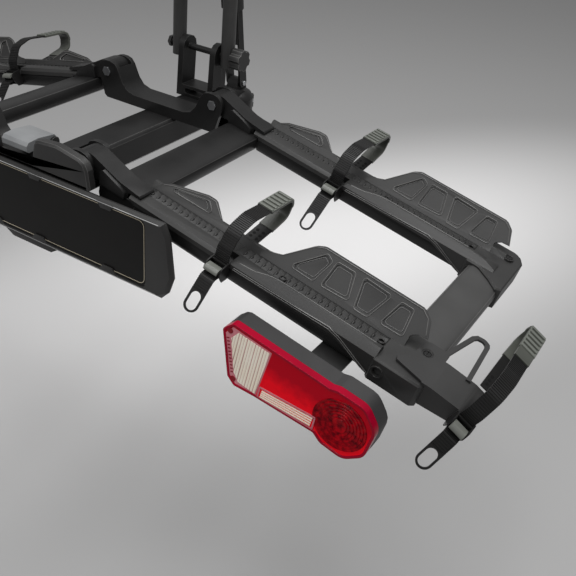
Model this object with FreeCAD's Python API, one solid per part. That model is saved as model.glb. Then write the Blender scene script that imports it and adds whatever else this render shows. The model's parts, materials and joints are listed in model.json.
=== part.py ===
import FreeCAD, Part
import math
import os

from FreeCAD import Vector

# Platform carrier for two bicycles that clamps on a car's towing ball.
# Millimetres. X points right as seen from behind, Y forward to the car, Z up.
# The origin is the centre of the towing ball. A wing is modelled flat in its
# own frame: origin on the rear wheel tray's channel, X outward, Y forward.

# Towing ball coupling
BALL_R = 25.0
SOCKET_GAP = 0.2
SOCKET_R = BALL_R + SOCKET_GAP
SOCKET_SKIRT = 14.0
HOUSING_R = 38.0
HOUSING_TOP = 46.0
TONGUE_W = 50.0
JAW_W = 22.0
JAW_PIN_R = 4.0
LEVER_PIN_R = 5.0
LEVER_PIVOT_Y = 4.0
LEVER_PIVOT_Z = 60.0
LEVER_LENGTH = 240.0
LEVER_LEAN = 10.0
LEVER_T = 5.0
LEVER_HALF_W = 8.0
EARS_W = 24.0
GRIP_LENGTH = 95.0

# Fits shared by every pin, bolt and bar
RUN_GAP = 0.05
SIDE_GAP = 0.5
SEAT_GAP = 0.3

# Tilting centre frame
TILT_Y = -75.0
TILT_Z = 35.0
TILT_PIN_R = 8.0
TILT_BOSS_R = 22.0
CHEEK_T = 8.0
SPINE_W = 70.0
SPINE_H = 50.0
SPINE_WALL = 4.0

# Wheel platform
TRAY_PITCH = 320.0
REAR_TRAY_Y = -520.0
WING_X = 459.0
WING_Z = 15.0
WING_DROOP = 12.0

# Flat-sided tubes of the wing frame
RAIL_FACE = 36.0
RAIL_W = 62.0
RAIL_H = 28.0
RAIL_TOP = 8.0
RAIL_R = 9.0
RAIL_WALL = 2.0
WELD_GAP = 0.15
BEAM_IN = -318.0
BEAM_W = 66.0
END_TUBE_IN = 164.0
END_TUBE_W = 64.0
DRAIN_R = 3.0

# Fold hinge of a wing, in the centre frame
HINGE_X = 120.0
HINGE_Z = 110.0
HINGE_PIN_R = 6.0
BARREL_R = 19.0
BARREL_BACK = -36.0
BARREL_W = 32.0
EAR_T = 8.0
BRACKET_H = 20.0
PIN_HEAD_R = 9.0
PIN_HEAD_T = 3.0

# Tilt pedal
PEDAL_HALF_W = 26.0
PEDAL_EAR_T = 5.0
PEDAL_AXLE_R = 4.0

# Wheel tray moulding
TRAY_IN = -262.0
TRAY_END = 160.0
LIP_Y = -38.0
LIP_H = 17.0
CHANNEL_W = 24.0
CHANNEL_Z = 10.0
RIB_H = 2.6
RIB_PITCH = 10.7
RIB_W = 4.6
GUARD_Y = 19.0
GUARD_Z = 20.0
GUARD_T = 4.5
GUARD_SLOPE = 48.6
POCKET_DEPTH = 1.6
CAP_TOP = 13.0
CAP_WALL = 4.0
COLLAR = 40.0
SCREW_R = 5.0
BOSS_R = 8.5
BOSS_X = 209.0
BOSS_Y = 22.0
PLUG_X = 170.0
PLUG_Z = -4.0
PLUG_R = 9.0
PLUG_WALL = 2.5

# Wheel straps
STRAP_X = -90.5
STRAP_W = 23.0
STRAP_T = 2.4
PAD_T = 2.6
PAD_OVER = 2.0
BUCKLE_T = 2.0
BUCKLE_PIN_R = 2.0
BUCKLE_PIN_SIDES = 10
OUTER_STRAP_X = 297.0
OUTER_STRAP_LEAN = 18.0
MID_LOOP = 112.0
OUTER_LOOP = 148.0
BAIL_W = 7.0
BAIL_T = 3.5

# Rear lamp
LAMP_FACE = -110.0
LAMP_LENS_D = 12.0
LAMP_DEPTH = 42.0
LAMP_WALL = 2.5
LAMP_FIT = 0.2

# Number plate
PLATE_W = 520.0
PLATE_H = 110.0
PLATE_T = 1.5
PLATE_Z = 20.5
HOLDER_GAP = 1.5
HOLDER_BACK = REAR_TRAY_Y + BARREL_BACK - SIDE_GAP - EAR_T - HOLDER_GAP
HOLDER_D = 22.0
HOLDER_WALL = 3.0
HOLDER_BEVEL = 5.0
HOLDER_TAPER = 16.0
HOLDER_RIB_T = 3.0
HOLDER_RIBS = (-200, -125, 125, 200)
PLATE_RECESS = 4.0
TAB_T = 2.0
TAB_PLACES = (-0.36, -0.09, 0.09, 0.36)

# Mast and frame clamps
MAST_Y = -112.0
MAST_PIVOT_Z = 150.0
MAST_HALF = 56.0
MAST_R = 13.0
MAST_TOP = 700.0
MAST_BEND = 28.0
MAST_PIN_R = 6.0
LOCK_KNOB_R = 20.0
LOCK_KNOB_D = 22.0
LOCK_BITE = 14.0
KNOB_LOBES = 6
KNOB_WAIST = 0.8
ARM_R = 8.0
ARM_COLLAR_R = 20.0
ARM_COLLAR_W = 20.0
REAR_ARM = 380.0
FRONT_ARM = 210.0
ARM_OFFSET = 14.0
JAW_TUBE_R = 17.0
JAW_WALL = 6.0
JAW_LEN = 24.0
JAW_TAIL = 20.0
JAW_SEAT = 10.0
CLAMP_SCREW_R = 3.0
SCREW_BITE = 5.0
JAW_SPLIT = 1.0
KNUCKLE_R = 6.5
KNUCKLE_W = 8.0
KNOB_DEPTH = 18.0

X_AXIS = Vector(1, 0, 0)
Y_AXIS = Vector(0, 1, 0)
Z_AXIS = Vector(0, 0, 1)
ORIGIN = Vector(0, 0, 0)

# Steps of a rounded corner in a quarter turn, times the root of its radius
CORNER_STEPS = 0.6
ROUND_SIDES = 12
BORE_SIDES = 14
MAST_SIDES = 16
DOME_SIDES = 24
SAME_POINT = 0.01


def on_xy(u, v, w=0.0):
    return Vector(u, v, w)


def on_xz(u, v, w=0.0):
    return Vector(u, w, v)


def on_yz(u, v, w=0.0):
    return Vector(w, u, v)


def block(x0, x1, y0, y1, z0, z1):
    return Part.makeBox(x1 - x0, y1 - y0, z1 - z0, Vector(x0, y0, z0))


def rod(start, direction, radius, length):
    return Part.makeCylinder(radius, length, start, direction)


def join(shapes):
    whole = shapes[0].fuse(shapes[1:]) if len(shapes) > 1 else shapes[0]
    return whole.removeSplitter()


def corner_points(before, corner, after, radius):
    """Points along a rounded corner, with more of them on a larger radius."""
    inward = (before - corner).normalize()
    outward = (after - corner).normalize()
    half = inward.getAngle(outward) / 2
    reach = radius / math.tan(half)
    turn = 180 - 2 * math.degrees(half)
    quarter_steps = max(1, round(CORNER_STEPS * math.sqrt(radius)))
    steps = max(1, round(turn / 90 * quarter_steps))
    centre = corner + (inward + outward).normalize() * (radius / math.sin(half))
    first = corner + inward * reach - centre
    last = corner + outward * reach - centre
    axis = first.cross(last)
    points = []
    for index in range(steps + 1):
        rotation = FreeCAD.Rotation(axis, turn * index / steps)
        points.append(centre + rotation.multVec(first))
    return points


def rounded_line(points, closed=False):
    """Line through corners given as (point, radius), with the corners eased."""
    count = len(points)
    line = []
    for index, (corner, radius) in enumerate(points):
        end = not closed and index in (0, count - 1)
        if end or radius == 0:
            eased = [corner]
        else:
            before = points[index - 1][0]
            after = points[(index + 1) % count][0]
            eased = corner_points(before, corner, after, radius)
        for point in eased:
            if not line or line[-1].distanceToPoint(point) > SAME_POINT:
                line.append(point)
    if closed and line[0].distanceToPoint(line[-1]) < SAME_POINT:
        line.pop()
    return line


def outline_face(corners, plane, level):
    """Flat face inside an outline of (u, v) or (u, v, radius) corners."""
    points = []
    for corner in corners:
        radius = corner[2] if len(corner) > 2 else 0
        points.append((plane(corner[0], corner[1], level), radius))
    line = rounded_line(points, closed=True)
    return Part.Face(Part.makePolygon(line + [line[0]]))


def prism(corners, plane, low, high):
    """Solid between two levels of the plane's third direction."""
    step = plane(0, 0, high - low)
    return outline_face(corners, plane, low).extrude(step)


def bar_section(width, height, radius, inset=0.0):
    """Corners of a flat-sided tube, centred, with an optional wall inset."""
    half_w = width / 2 - inset
    half_h = height / 2 - inset
    corner = max(radius - inset, 1.0)
    return [
        (-half_w, -half_h, corner),
        (half_w, -half_h, corner),
        (half_w, half_h, corner),
        (-half_w, half_h, corner),
    ]


def shifted(corners, du, dv):
    return [(c[0] + du, c[1] + dv) + tuple(c[2:]) for c in corners]


def strip(line, across, width, thickness):
    """Flat band along a line, with its width in the across direction."""
    normals = []
    for first, second in zip(line, line[1:]):
        normals.append(across.cross(second - first).normalize())
    low = []
    high = []
    for point, before, after in zip(line, normals[:1] + normals, normals + normals[-1:]):
        lift = (before + after) * (thickness / 2 / (1 + before.dot(after)))
        low.append(point - lift - across * (width / 2))
        high.append(point + lift - across * (width / 2))
    outline = low + high[::-1]
    return Part.Face(Part.makePolygon(outline + [outline[0]])).extrude(across * width)


def tube_sweep(line, radius, sides):
    """Round bar along a line, mitred at its bends."""
    run = (line[1] - line[0]).normalize()
    first = run.cross(Vector(0.36, 0.48, 0.8)).normalize() * radius
    ring = []
    for index in range(sides):
        rotation = FreeCAD.Rotation(run, 360 * index / sides)
        ring.append(line[0] + rotation.multVec(first))
    sections = [ring]
    for index in range(1, len(line)):
        before = (line[index] - line[index - 1]).normalize()
        after = before
        if index < len(line) - 1:
            after = (line[index + 1] - line[index]).normalize()
        normal = before + after
        section = []
        for point in sections[-1]:
            reach = (line[index] - point).dot(normal) / before.dot(normal)
            section.append(point + before * reach)
        sections.append(section)
    return lofted(sections)


def disc(centre, direction, radius, length, sides):
    """Many-sided stud or boss where nothing turns."""
    first = direction.cross(Vector(0.36, 0.48, 0.8)).normalize() * radius
    points = []
    for index in range(sides):
        rotation = FreeCAD.Rotation(direction, 360 * (index + 0.5) / sides)
        points.append(centre + rotation.multVec(first))
    return Part.Face(Part.makePolygon(points + [points[0]])).extrude(direction * length)


def bore(start, direction, radius, length):
    """Many-sided running hole whose flats clear a pin of the given radius."""
    corner_r = (radius + RUN_GAP) / math.cos(math.pi / BORE_SIDES)
    return disc(start, direction, corner_r, length, BORE_SIDES)


def ring_line(level, radius, sides):
    """Corners of a level many-sided ring about the towing ball's axis."""
    points = []
    for index in range(sides):
        turn = 2 * math.pi * index / sides
        points.append(Vector(radius * math.cos(turn), radius * math.sin(turn), level))
    return points


def lofted(sections):
    """Solid with flat or two-part facets between sections of equal count."""
    faces = [Part.Face(Part.makePolygon(s + [s[0]])) for s in (sections[0], sections[-1])]
    for low, high in zip(sections, sections[1:]):
        for index, first in enumerate(low):
            after = (index + 1) % len(low)
            for corners in (
                [first, low[after], high[after]],
                [first, high[after], high[index]],
            ):
                faces.append(Part.Face(Part.makePolygon(corners + [first])))
    solid = Part.makeSolid(Part.makeShell(faces))
    return solid.removeSplitter()


def on_right(shape):
    """From the wing's frame to its place on the right of the car."""
    placed = shape.copy()
    placed.rotate(ORIGIN, Y_AXIS, WING_DROOP)
    placed.translate(Vector(WING_X, REAR_TRAY_Y, WING_Z))
    return placed


def on_left(shape):
    return on_right(shape).mirror(ORIGIN, X_AXIS)


def hinge_in_wing():
    """The fold axis in the wing's frame, as its X and Z."""
    turn = math.radians(WING_DROOP)
    dx = HINGE_X - WING_X
    dz = HINGE_Z - WING_Z
    return (
        dx * math.cos(turn) - dz * math.sin(turn),
        dx * math.sin(turn) + dz * math.cos(turn),
    )


# The coupling that stays fixed on the towing ball


def ball_housing():
    """Casting with the ball's socket, the tilt tongue and the lever's boss."""
    steps = [
        (-SOCKET_SKIRT, HOUSING_R),
        (HOUSING_TOP - 16, HOUSING_R),
        (HOUSING_TOP - 6, HOUSING_R - 5),
        (HOUSING_TOP, HOUSING_R - 15),
    ]
    dome = lofted([ring_line(level, radius, DOME_SIDES) for level, radius in steps])
    half = TONGUE_W / 2
    low = TILT_Z - TILT_BOSS_R
    high = TILT_Z + TILT_BOSS_R
    round_end = TILT_BOSS_R - 1
    tongue = prism(
        [
            (0, low),
            (TILT_Y - TILT_BOSS_R, low, round_end),
            (TILT_Y - TILT_BOSS_R, high, round_end),
            (-30, high, 12),
            (0, HOUSING_TOP),
        ],
        on_yz,
        -half,
        half,
    )
    lever_ears = prism(
        [
            (-16, 36),
            (24, 36),
            (24, 44, 6),
            (LEVER_PIVOT_Y + 9, LEVER_PIVOT_Z + 9, 8),
            (LEVER_PIVOT_Y - 9, LEVER_PIVOT_Z + 9, 8),
            (-16, 46),
        ],
        on_yz,
        -EARS_W / 2,
        EARS_W / 2,
    )
    nose_plan = [(-20, 20), (20, 20), (20, 48, 6), (-20, 48, 6)]
    jaw_nose = prism(nose_plan, on_xy, 0, 26)
    body = join([dome, tongue, lever_ears, jaw_nose])
    socket = rod(Vector(0, 0, -SOCKET_SKIRT - 1), Z_AXIS, SOCKET_R, SOCKET_SKIRT + 1 + SOCKET_R)
    jaw_slot = block(
        -JAW_W / 2 - SIDE_GAP,
        JAW_W / 2 + SIDE_GAP,
        18,
        60,
        -SOCKET_SKIRT - 1,
        18 + JAW_PIN_R * 2,
    )
    tilt_hole = bore(Vector(-half - 1, TILT_Y, TILT_Z), X_AXIS, TILT_PIN_R, TONGUE_W + 2)
    lever_hole = bore(
        Vector(-EARS_W, LEVER_PIVOT_Y, LEVER_PIVOT_Z), X_AXIS, LEVER_PIN_R, 2 * EARS_W
    )
    jaw_hole = bore(Vector(-EARS_W, JAW_PIVOT[0], JAW_PIVOT[1]), X_AXIS, JAW_PIN_R, 2 * EARS_W)
    return body.cut([socket, jaw_slot, tilt_hole, lever_hole, jaw_hole])


JAW_PIVOT = (40.0, 14.0)


def clamp_jaw():
    y, z = JAW_PIVOT
    plate = prism(
        [
            (SOCKET_R - 4, -SOCKET_SKIRT),
            (y + 4, -SOCKET_SKIRT + 2, 6),
            (y + 7, z - 4, 6),
            (y + 7, z + 7, 6),
            (y - 7, z + 7, 6),
            (y - 8, z - 4, 4),
            (SOCKET_R - 4, 0),
        ],
        on_yz,
        -JAW_W / 2,
        JAW_W / 2,
    )
    ball_room = rod(Vector(0, 0, -HOUSING_R), Z_AXIS, SOCKET_R + SIDE_GAP, 2 * HOUSING_R)
    pin_hole = bore(Vector(-JAW_W, y, z), X_AXIS, JAW_PIN_R, 2 * JAW_W)
    return plate.cut([ball_room, pin_hole])


def coupling_pins():
    """The tilt bolt with its hexagon heads, and the lever's and jaw's pins."""
    reach = TONGUE_W / 2 + SIDE_GAP + CHEEK_T + 1
    tilt = rod(Vector(-reach, TILT_Y, TILT_Z), X_AXIS, TILT_PIN_R, 2 * reach)
    heads = []
    for side in (-1, 1):
        seat = Vector(side * reach, TILT_Y, TILT_Z)
        heads.append(disc(seat, X_AXIS * side, TILT_PIN_R + 6, 5, 6))
    lever = rod(Vector(-20, LEVER_PIVOT_Y, LEVER_PIVOT_Z), X_AXIS, LEVER_PIN_R, 40)
    jaw = rod(Vector(-20, JAW_PIVOT[0], JAW_PIVOT[1]), X_AXIS, JAW_PIN_R, 40)
    return Part.makeCompound([join([tilt] + heads), lever, jaw])


def leaned(shape):
    """From upright at the origin to the coupling lever's pivot and lean."""
    shape.rotate(ORIGIN, X_AXIS, LEVER_LEAN)
    shape.translate(Vector(0, LEVER_PIVOT_Y, LEVER_PIVOT_Z))
    return shape


def coupling_lever():
    """Forked lever whose two plates straddle the housing's boss."""
    outline = [
        (-11, -9, 9),
        (11, -9, 9),
        (11, 16, 8),
        (LEVER_HALF_W, 70, 20),
        (LEVER_HALF_W, LEVER_LENGTH, 5),
        (-LEVER_HALF_W, LEVER_LENGTH, 5),
        (-LEVER_HALF_W, 70, 20),
        (-11, 16, 8),
    ]
    inner = EARS_W / 2 + SIDE_GAP
    right = prism(outline, on_yz, inner, inner + LEVER_T)
    web = block(-inner, inner, -2.5, 2.5, 80, LEVER_LENGTH - 4)
    hole = bore(Vector(-EARS_W, 0, 0), X_AXIS, LEVER_PIN_R, 2 * EARS_W)
    return leaned(join([right, right.mirror(ORIGIN, X_AXIS), web]).cut(hole))


def lever_grip():
    """Soft sleeve pushed over the lever's free end."""
    start = LEVER_LENGTH - GRIP_LENGTH + 8
    half = EARS_W / 2 + SIDE_GAP + LEVER_T + SEAT_GAP
    depth = 2 * (LEVER_HALF_W + SEAT_GAP)
    grip = prism(bar_section(2 * half + 8, depth + 11, 10), on_xy, start, start + GRIP_LENGTH)
    socket = block(-half, half, -depth / 2, depth / 2, start - 1, LEVER_LENGTH + SEAT_GAP)
    return leaned(grip.cut(socket))


# The centre frame that tilts on the coupling


def main_spine():
    """Square beam with two cheeks that carry the tilt bolt."""
    half = SPINE_W / 2
    low = TILT_Z - SPINE_H / 2
    high = TILT_Z + SPINE_H / 2
    beam_front = TILT_Y - TILT_BOSS_R - 8
    beam_back = HOLDER_BACK
    section = shifted(bar_section(SPINE_W, SPINE_H, 5), 0, TILT_Z)
    beam = prism(section, on_xz, beam_back, beam_front)
    hollow = block(
        -half + SPINE_WALL,
        half - SPINE_WALL,
        beam_back + SPINE_WALL,
        beam_front - SPINE_WALL,
        low + SPINE_WALL,
        high - SPINE_WALL,
    )
    drain = disc(Vector(0, beam_back + 60, low - 1), Z_AXIS, DRAIN_R, SPINE_WALL + 2, 8)
    inner = TONGUE_W / 2 + SIDE_GAP
    cheeks = []
    for side in (-1, 1):
        cheek = prism(
            [
                (TILT_Y + TILT_BOSS_R, TILT_Z + TILT_BOSS_R, TILT_BOSS_R - 1),
                (TILT_Y + TILT_BOSS_R, TILT_Z - TILT_BOSS_R, TILT_BOSS_R - 1),
                (TILT_Y - 10, TILT_Z - TILT_BOSS_R),
                (beam_front + 1, low + 2),
                (beam_front - 40, low + 8),
                (beam_front - 40, high - 8),
                (beam_front + 1, high - 2),
                (TILT_Y - 10, TILT_Z + TILT_BOSS_R),
            ],
            on_yz,
            inner,
            inner + CHEEK_T + 1.5,
        )
        cheeks.append(cheek if side > 0 else cheek.mirror(ORIGIN, X_AXIS))
    bolt_hole = bore(Vector(-60, TILT_Y, TILT_Z), X_AXIS, TILT_PIN_R, 120)
    trim = [
        block(inner + CHEEK_T, 60, TILT_Y - 25, TILT_Y + 40, 0, 80),
        block(-60, -inner - CHEEK_T, TILT_Y - 25, TILT_Y + 40, 0, 80),
    ]
    return join([beam] + cheeks).cut([hollow, drain, bolt_hole] + trim)


def hinge_bracket(tray_y):
    """Cross bracket on the spine that ends in a clevis for each wing."""
    top = TILT_Z + SPINE_H / 2
    back = tray_y + BARREL_BACK - SIDE_GAP - EAR_T
    front = tray_y + BARREL_BACK + BARREL_W + SIDE_GAP + EAR_T
    ear_r = BARREL_R + 1
    half = [
        (0, top),
        (HINGE_X + 6, top, 6),
        (HINGE_X + 13, top + 26, 10),
        (HINGE_X + ear_r, HINGE_Z - 8, 8),
        (HINGE_X + ear_r, HINGE_Z + ear_r, ear_r - 2),
        (HINGE_X - ear_r, HINGE_Z + ear_r, ear_r - 2),
        (HINGE_X - 44, top + BRACKET_H, 30),
        (0, top + BRACKET_H),
    ]
    right = prism(half, on_xz, back, front)
    body = join([right, right.mirror(ORIGIN, X_AXIS)])
    inner_back = back + EAR_T
    inner_front = front - EAR_T
    cuts = []
    for side in (-1, 1):
        pin = Vector(side * HINGE_X, back - 1, HINGE_Z)
        cuts.append(bore(pin, Y_AXIS, HINGE_PIN_R, front - back + 2))
        slot = block(HINGE_X - 24, HINGE_X + 60, inner_back, inner_front, top + 6, HINGE_Z + 60)
        hollow = block(46, HINGE_X - 34, inner_back, inner_front, top - 1, top + 12)
        for room in (slot, hollow):
            cuts.append(room if side > 0 else room.mirror(ORIGIN, X_AXIS))
    return body.cut(cuts)


def hinge_brackets():
    return Part.makeCompound([hinge_bracket(REAR_TRAY_Y), hinge_bracket(REAR_TRAY_Y + TRAY_PITCH)])


def hinge_pins():
    pins = []
    for tray_y in (REAR_TRAY_Y, REAR_TRAY_Y + TRAY_PITCH):
        back = tray_y + BARREL_BACK - SIDE_GAP - EAR_T
        length = BARREL_W + 2 * SIDE_GAP + 2 * EAR_T
        for side in (-1, 1):
            x = side * HINGE_X
            shank = rod(Vector(x, back - 0.1, HINGE_Z), Y_AXIS, HINGE_PIN_R, length + 0.2)
            near = disc(Vector(x, back, HINGE_Z), Y_AXIS * -1, PIN_HEAD_R, PIN_HEAD_T, 6)
            far = disc(Vector(x, back + length, HINGE_Z), Y_AXIS, PIN_HEAD_R, PIN_HEAD_T, 6)
            pins.append(join([shank, near, far]))
    return Part.makeCompound(pins)


def centre_cover():
    """Moulded cowl that closes the back of the rear hinge bracket."""
    bracket_back = REAR_TRAY_Y + BARREL_BACK - SIDE_GAP - EAR_T
    front = bracket_back - PIN_HEAD_T - SEAT_GAP
    back = front - 14
    holder_top = PLATE_Z + PLATE_H / 2 + 8
    half = [
        (0, holder_top + 0.5),
        (HINGE_X + 32, holder_top + 0.5),
        (HINGE_X + 26, HINGE_Z + 14, 18),
        (HINGE_X - 30, HINGE_Z + 24, 26),
        (46, HINGE_Z + 20, 12),
        (36, holder_top + 7),
        (0, holder_top + 7),
    ]
    right = prism(half, on_xz, back, front)
    body = join([right, right.mirror(ORIGIN, X_AXIS)])
    rear_edges = [e for e in body.Edges if e.BoundBox.YMax < back + 0.1]
    body = body.makeChamfer(3, rear_edges)
    foot_back = bracket_back
    feet = []
    for x in (-70, 70):
        feet.append(block(x - 9, x + 9, front - 1, foot_back, holder_top + 2, holder_top + 12))
    return join([body] + feet)


def tilt_pedal():
    """Foot pedal above the plate that frees the tilt when it is pressed."""
    top = HINGE_Z - 2
    front = REAR_TRAY_Y + 6
    back = REAR_TRAY_Y - 58
    hub_end = Vector(-PEDAL_HALF_W, PEDAL_PIVOT[0], PEDAL_PIVOT[1])
    hub = disc(hub_end, X_AXIS, 2 * PEDAL_AXLE_R, 2 * PEDAL_HALF_W, ROUND_SIDES)
    pad = prism(
        [
            (back, top - 8, 3),
            (back, top + 8, 5),
            (back + 24, top + 10, 10),
            (front - 4, top + 6, 4),
            (front - 4, PEDAL_PIVOT[1], 3),
            (back + 20, top - 6, 6),
        ],
        on_yz,
        -PEDAL_HALF_W,
        PEDAL_HALF_W,
    )
    hole = bore(Vector(-40, PEDAL_PIVOT[0], PEDAL_PIVOT[1]), X_AXIS, PEDAL_AXLE_R, 80)
    return join([pad, hub]).cut(hole)


PEDAL_PIVOT = (REAR_TRAY_Y - 4, HINGE_Z - 6.0)


def pedal_bracket():
    """Two ears and the axle that carry the pedal on the rear bracket."""
    base = TILT_Z + SPINE_H / 2 + BRACKET_H
    ears = []
    for side in (-1, 1):
        ear = prism(
            [
                (PEDAL_PIVOT[0] - 14, base),
                (PEDAL_PIVOT[0] + 8, base),
                (PEDAL_PIVOT[0] + 8, PEDAL_PIVOT[1] + 8, 7),
                (PEDAL_PIVOT[0] - 8, PEDAL_PIVOT[1] + 8, 7),
            ],
            on_yz,
            PEDAL_HALF_W + SIDE_GAP,
            PEDAL_HALF_W + PEDAL_EAR_T,
        )
        ears.append(ear if side > 0 else ear.mirror(ORIGIN, X_AXIS))
    reach = PEDAL_HALF_W + PEDAL_EAR_T
    axle = rod(
        Vector(-reach, PEDAL_PIVOT[0], PEDAL_PIVOT[1]), X_AXIS, PEDAL_AXLE_R, 2 * reach
    )
    return join(ears + [axle])


def holder_outline(inset):
    """Long frame with clipped corners, drawn in by the inset."""
    half_w = PLATE_W / 2
    top = PLATE_Z + PLATE_H / 2 + 6
    low = PLATE_Z - PLATE_H / 2 - 9
    side = [
        (half_w + 32 - inset, top - inset),
        (half_w + 41 - inset, top - 20),
        (half_w + 49 - inset, PLATE_Z - 22),
        (half_w + 40 - inset, low + 14),
        (half_w + 27 - inset, low + inset),
    ]
    return side + [(-x, z) for x, z in reversed(side)]


def holder_shell(inset, levels):
    """Solid through the frame's outline, drawn in by each level's own inset."""
    sections = []
    for y, drawn_in in levels:
        sections.append([on_xz(x, z, y) for x, z in holder_outline(inset + drawn_in)])
    return lofted(sections)


def plate_holder():
    """Frame of the number plate, with a sloped rim and a tapered back."""
    half_w = PLATE_W / 2
    top = PLATE_Z + PLATE_H / 2
    low = PLATE_Z - PLATE_H / 2
    face = HOLDER_BACK - HOLDER_D
    rim = face + HOLDER_BEVEL
    body = holder_shell(
        0,
        [(face, HOLDER_BEVEL), (rim, 0), (rim + 3, 0), (HOLDER_BACK, HOLDER_TAPER)],
    )
    recess = prism(
        [
            (-half_w - 1, low - 1, 9),
            (half_w + 1, low - 1, 9),
            (half_w + 1, top + 1, 9),
            (-half_w - 1, top + 1, 9),
        ],
        on_xz,
        face - 1,
        face + PLATE_RECESS,
    )
    floor = face + PLATE_RECESS + HOLDER_WALL
    hollow = holder_shell(HOLDER_WALL, [(floor, 2), (HOLDER_BACK + 1, HOLDER_TAPER + 1)])
    pad_half = SPINE_W / 2 + 15
    spine_pad = block(-pad_half, pad_half, floor - 1, HOLDER_BACK, low + 10, top - 10)
    flange = prism(
        [(-32, low), (-32, low - 9), (-16, low - 18), (66, low - 18), (80, low - 9), (80, low)],
        on_xz,
        rim,
        rim + 4,
    )
    ribs = []
    for x in HOLDER_RIBS:
        rib = block(x, x + HOLDER_RIB_T, floor - 1, HOLDER_BACK, low + 10, top - 10)
        ribs.append(rib)
    return join([body.cut([recess, hollow]), spine_pad, flange] + ribs + plate_tabs())


def plate_tabs():
    """Small clips that reach over the plate's long edges."""
    face = HOLDER_BACK - HOLDER_D + PLATE_RECESS - PLATE_T - SEAT_GAP
    top = PLATE_Z + PLATE_H / 2
    low = PLATE_Z - PLATE_H / 2
    tabs = []
    for share in TAB_PLACES:
        x = share * PLATE_W
        for edge, sign in ((top, -1), (low, 1)):
            corners = [
                (x - 16, edge - sign * 2),
                (x - 9, edge + sign * 7),
                (x + 9, edge + sign * 7),
                (x + 16, edge - sign * 2),
            ]
            tabs.append(prism(corners, on_xz, face - TAB_T, face))
    return tabs


def number_plate():
    half_w = PLATE_W / 2
    low = PLATE_Z - PLATE_H / 2
    high = PLATE_Z + PLATE_H / 2
    back = HOLDER_BACK - HOLDER_D + PLATE_RECESS
    corners = [
        (-half_w, low, 8),
        (half_w, low, 8),
        (half_w, high, 8),
        (-half_w, high, 8),
    ]
    return prism(corners, on_xz, back - PLATE_T, back)


# The mast and its two frame clamps


def mast_foot():
    top = TILT_Z + SPINE_H / 2
    inner = MAST_HALF - MAST_R - 1
    upright = prism(
        [
            (MAST_Y - 26, top),
            (MAST_Y + 14, top, 4),
            (MAST_Y + 20, MAST_PIVOT_Z + 20, 19),
            (MAST_Y - 20, MAST_PIVOT_Z + 20, 19),
        ],
        on_yz,
        -inner,
        inner,
    )
    window = block(-inner + 12, inner - 12, MAST_Y - 60, MAST_Y + 60, top + 22, MAST_PIVOT_Z + 40)
    lighten = prism(
        [
            (-inner + 16, top + 6, 4),
            (inner - 16, top + 6, 4),
            (inner - 20, top + 16, 4),
            (-inner + 20, top + 16, 4),
        ],
        on_xz,
        MAST_Y - 60,
        MAST_Y + 60,
    )
    reach = MAST_HALF + MAST_R + 2
    pin = rod(Vector(-reach, MAST_Y, MAST_PIVOT_Z), X_AXIS, MAST_PIN_R, 2 * reach + LOCK_BITE)
    head = disc(Vector(-reach - 6, MAST_Y, MAST_PIVOT_Z), X_AXIS, MAST_PIN_R + 5, 6, 6)
    return join([upright.cut([window, lighten]), pin, head])


def mast_hoop():
    """Bent round tube that stands on the foot's bolt."""
    bottom = MAST_PIVOT_Z - 20
    eased = MAST_BEND * (1 - math.sqrt(0.5))
    half = [
        (MAST_HALF, bottom),
        (MAST_HALF, MAST_TOP - MAST_BEND),
        (MAST_HALF - eased, MAST_TOP - eased),
        (MAST_HALF - MAST_BEND, MAST_TOP),
    ]
    line = [on_xz(x, z, MAST_Y) for x, z in half]
    line += [on_xz(-x, z, MAST_Y) for x, z in reversed(half)]
    hoop = tube_sweep(line, MAST_R, MAST_SIDES)
    reach = MAST_HALF + 2 * MAST_R
    hole = bore(Vector(-reach, MAST_Y, MAST_PIVOT_Z), X_AXIS, MAST_PIN_R, 2 * reach)
    return hoop.cut(hole)


def star_knob(centre, direction, radius, depth):
    """Turning knob with grip hollows round its rim."""
    side = direction.cross(Vector(0.36, 0.48, 0.8)).normalize()
    rim = []
    for index in range(KNOB_LOBES):
        for share, reach in ((0.0, 1.0), (0.4, 1.0), (0.7, KNOB_WAIST)):
            turn = FreeCAD.Rotation(direction, 360 * (index + share) / KNOB_LOBES)
            rim.append(centre + turn.multVec(side) * (radius * reach))
    return Part.Face(Part.makePolygon(rim + [rim[0]])).extrude(direction * depth)


def mast_lock_knob():
    start = Vector(MAST_HALF + MAST_R + 2, MAST_Y, MAST_PIVOT_Z)
    hole = bore(start - X_AXIS, X_AXIS, MAST_PIN_R, LOCK_BITE + 2)
    return star_knob(start, X_AXIS, LOCK_KNOB_R, LOCK_KNOB_D).cut(hole)


def jaw_pivot(x, length):
    return Vector(x, MAST_Y + JAW_TUBE_R + JAW_WALL + 8, MAST_TOP - length)


def clamp_half(x, length, up):
    """Half of a frame clamp, above the bicycle's tube or below it."""
    outer = JAW_TUBE_R + JAW_WALL
    outline = [
        (outer + 10, JAW_SPLIT),
        (outer + 10, JAW_SEAT, 3),
        (outer * 0.55, outer, 6),
        (-outer * 0.55, outer, 6),
        (-outer + 1, JAW_SEAT, 2),
        (-outer - JAW_TAIL, JAW_SEAT, 3),
        (-outer - JAW_TAIL, JAW_SPLIT),
    ]
    centre_z = MAST_TOP - length
    corners = [(MAST_Y + c[0], centre_z + up * c[1]) + tuple(c[2:]) for c in outline]
    half = prism(corners, on_yz, x - JAW_LEN / 2, x + JAW_LEN / 2)
    tube_room = bore(Vector(x - JAW_LEN, MAST_Y, centre_z), X_AXIS, JAW_TUBE_R, 2 * JAW_LEN)
    return half.cut(tube_room)


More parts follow.
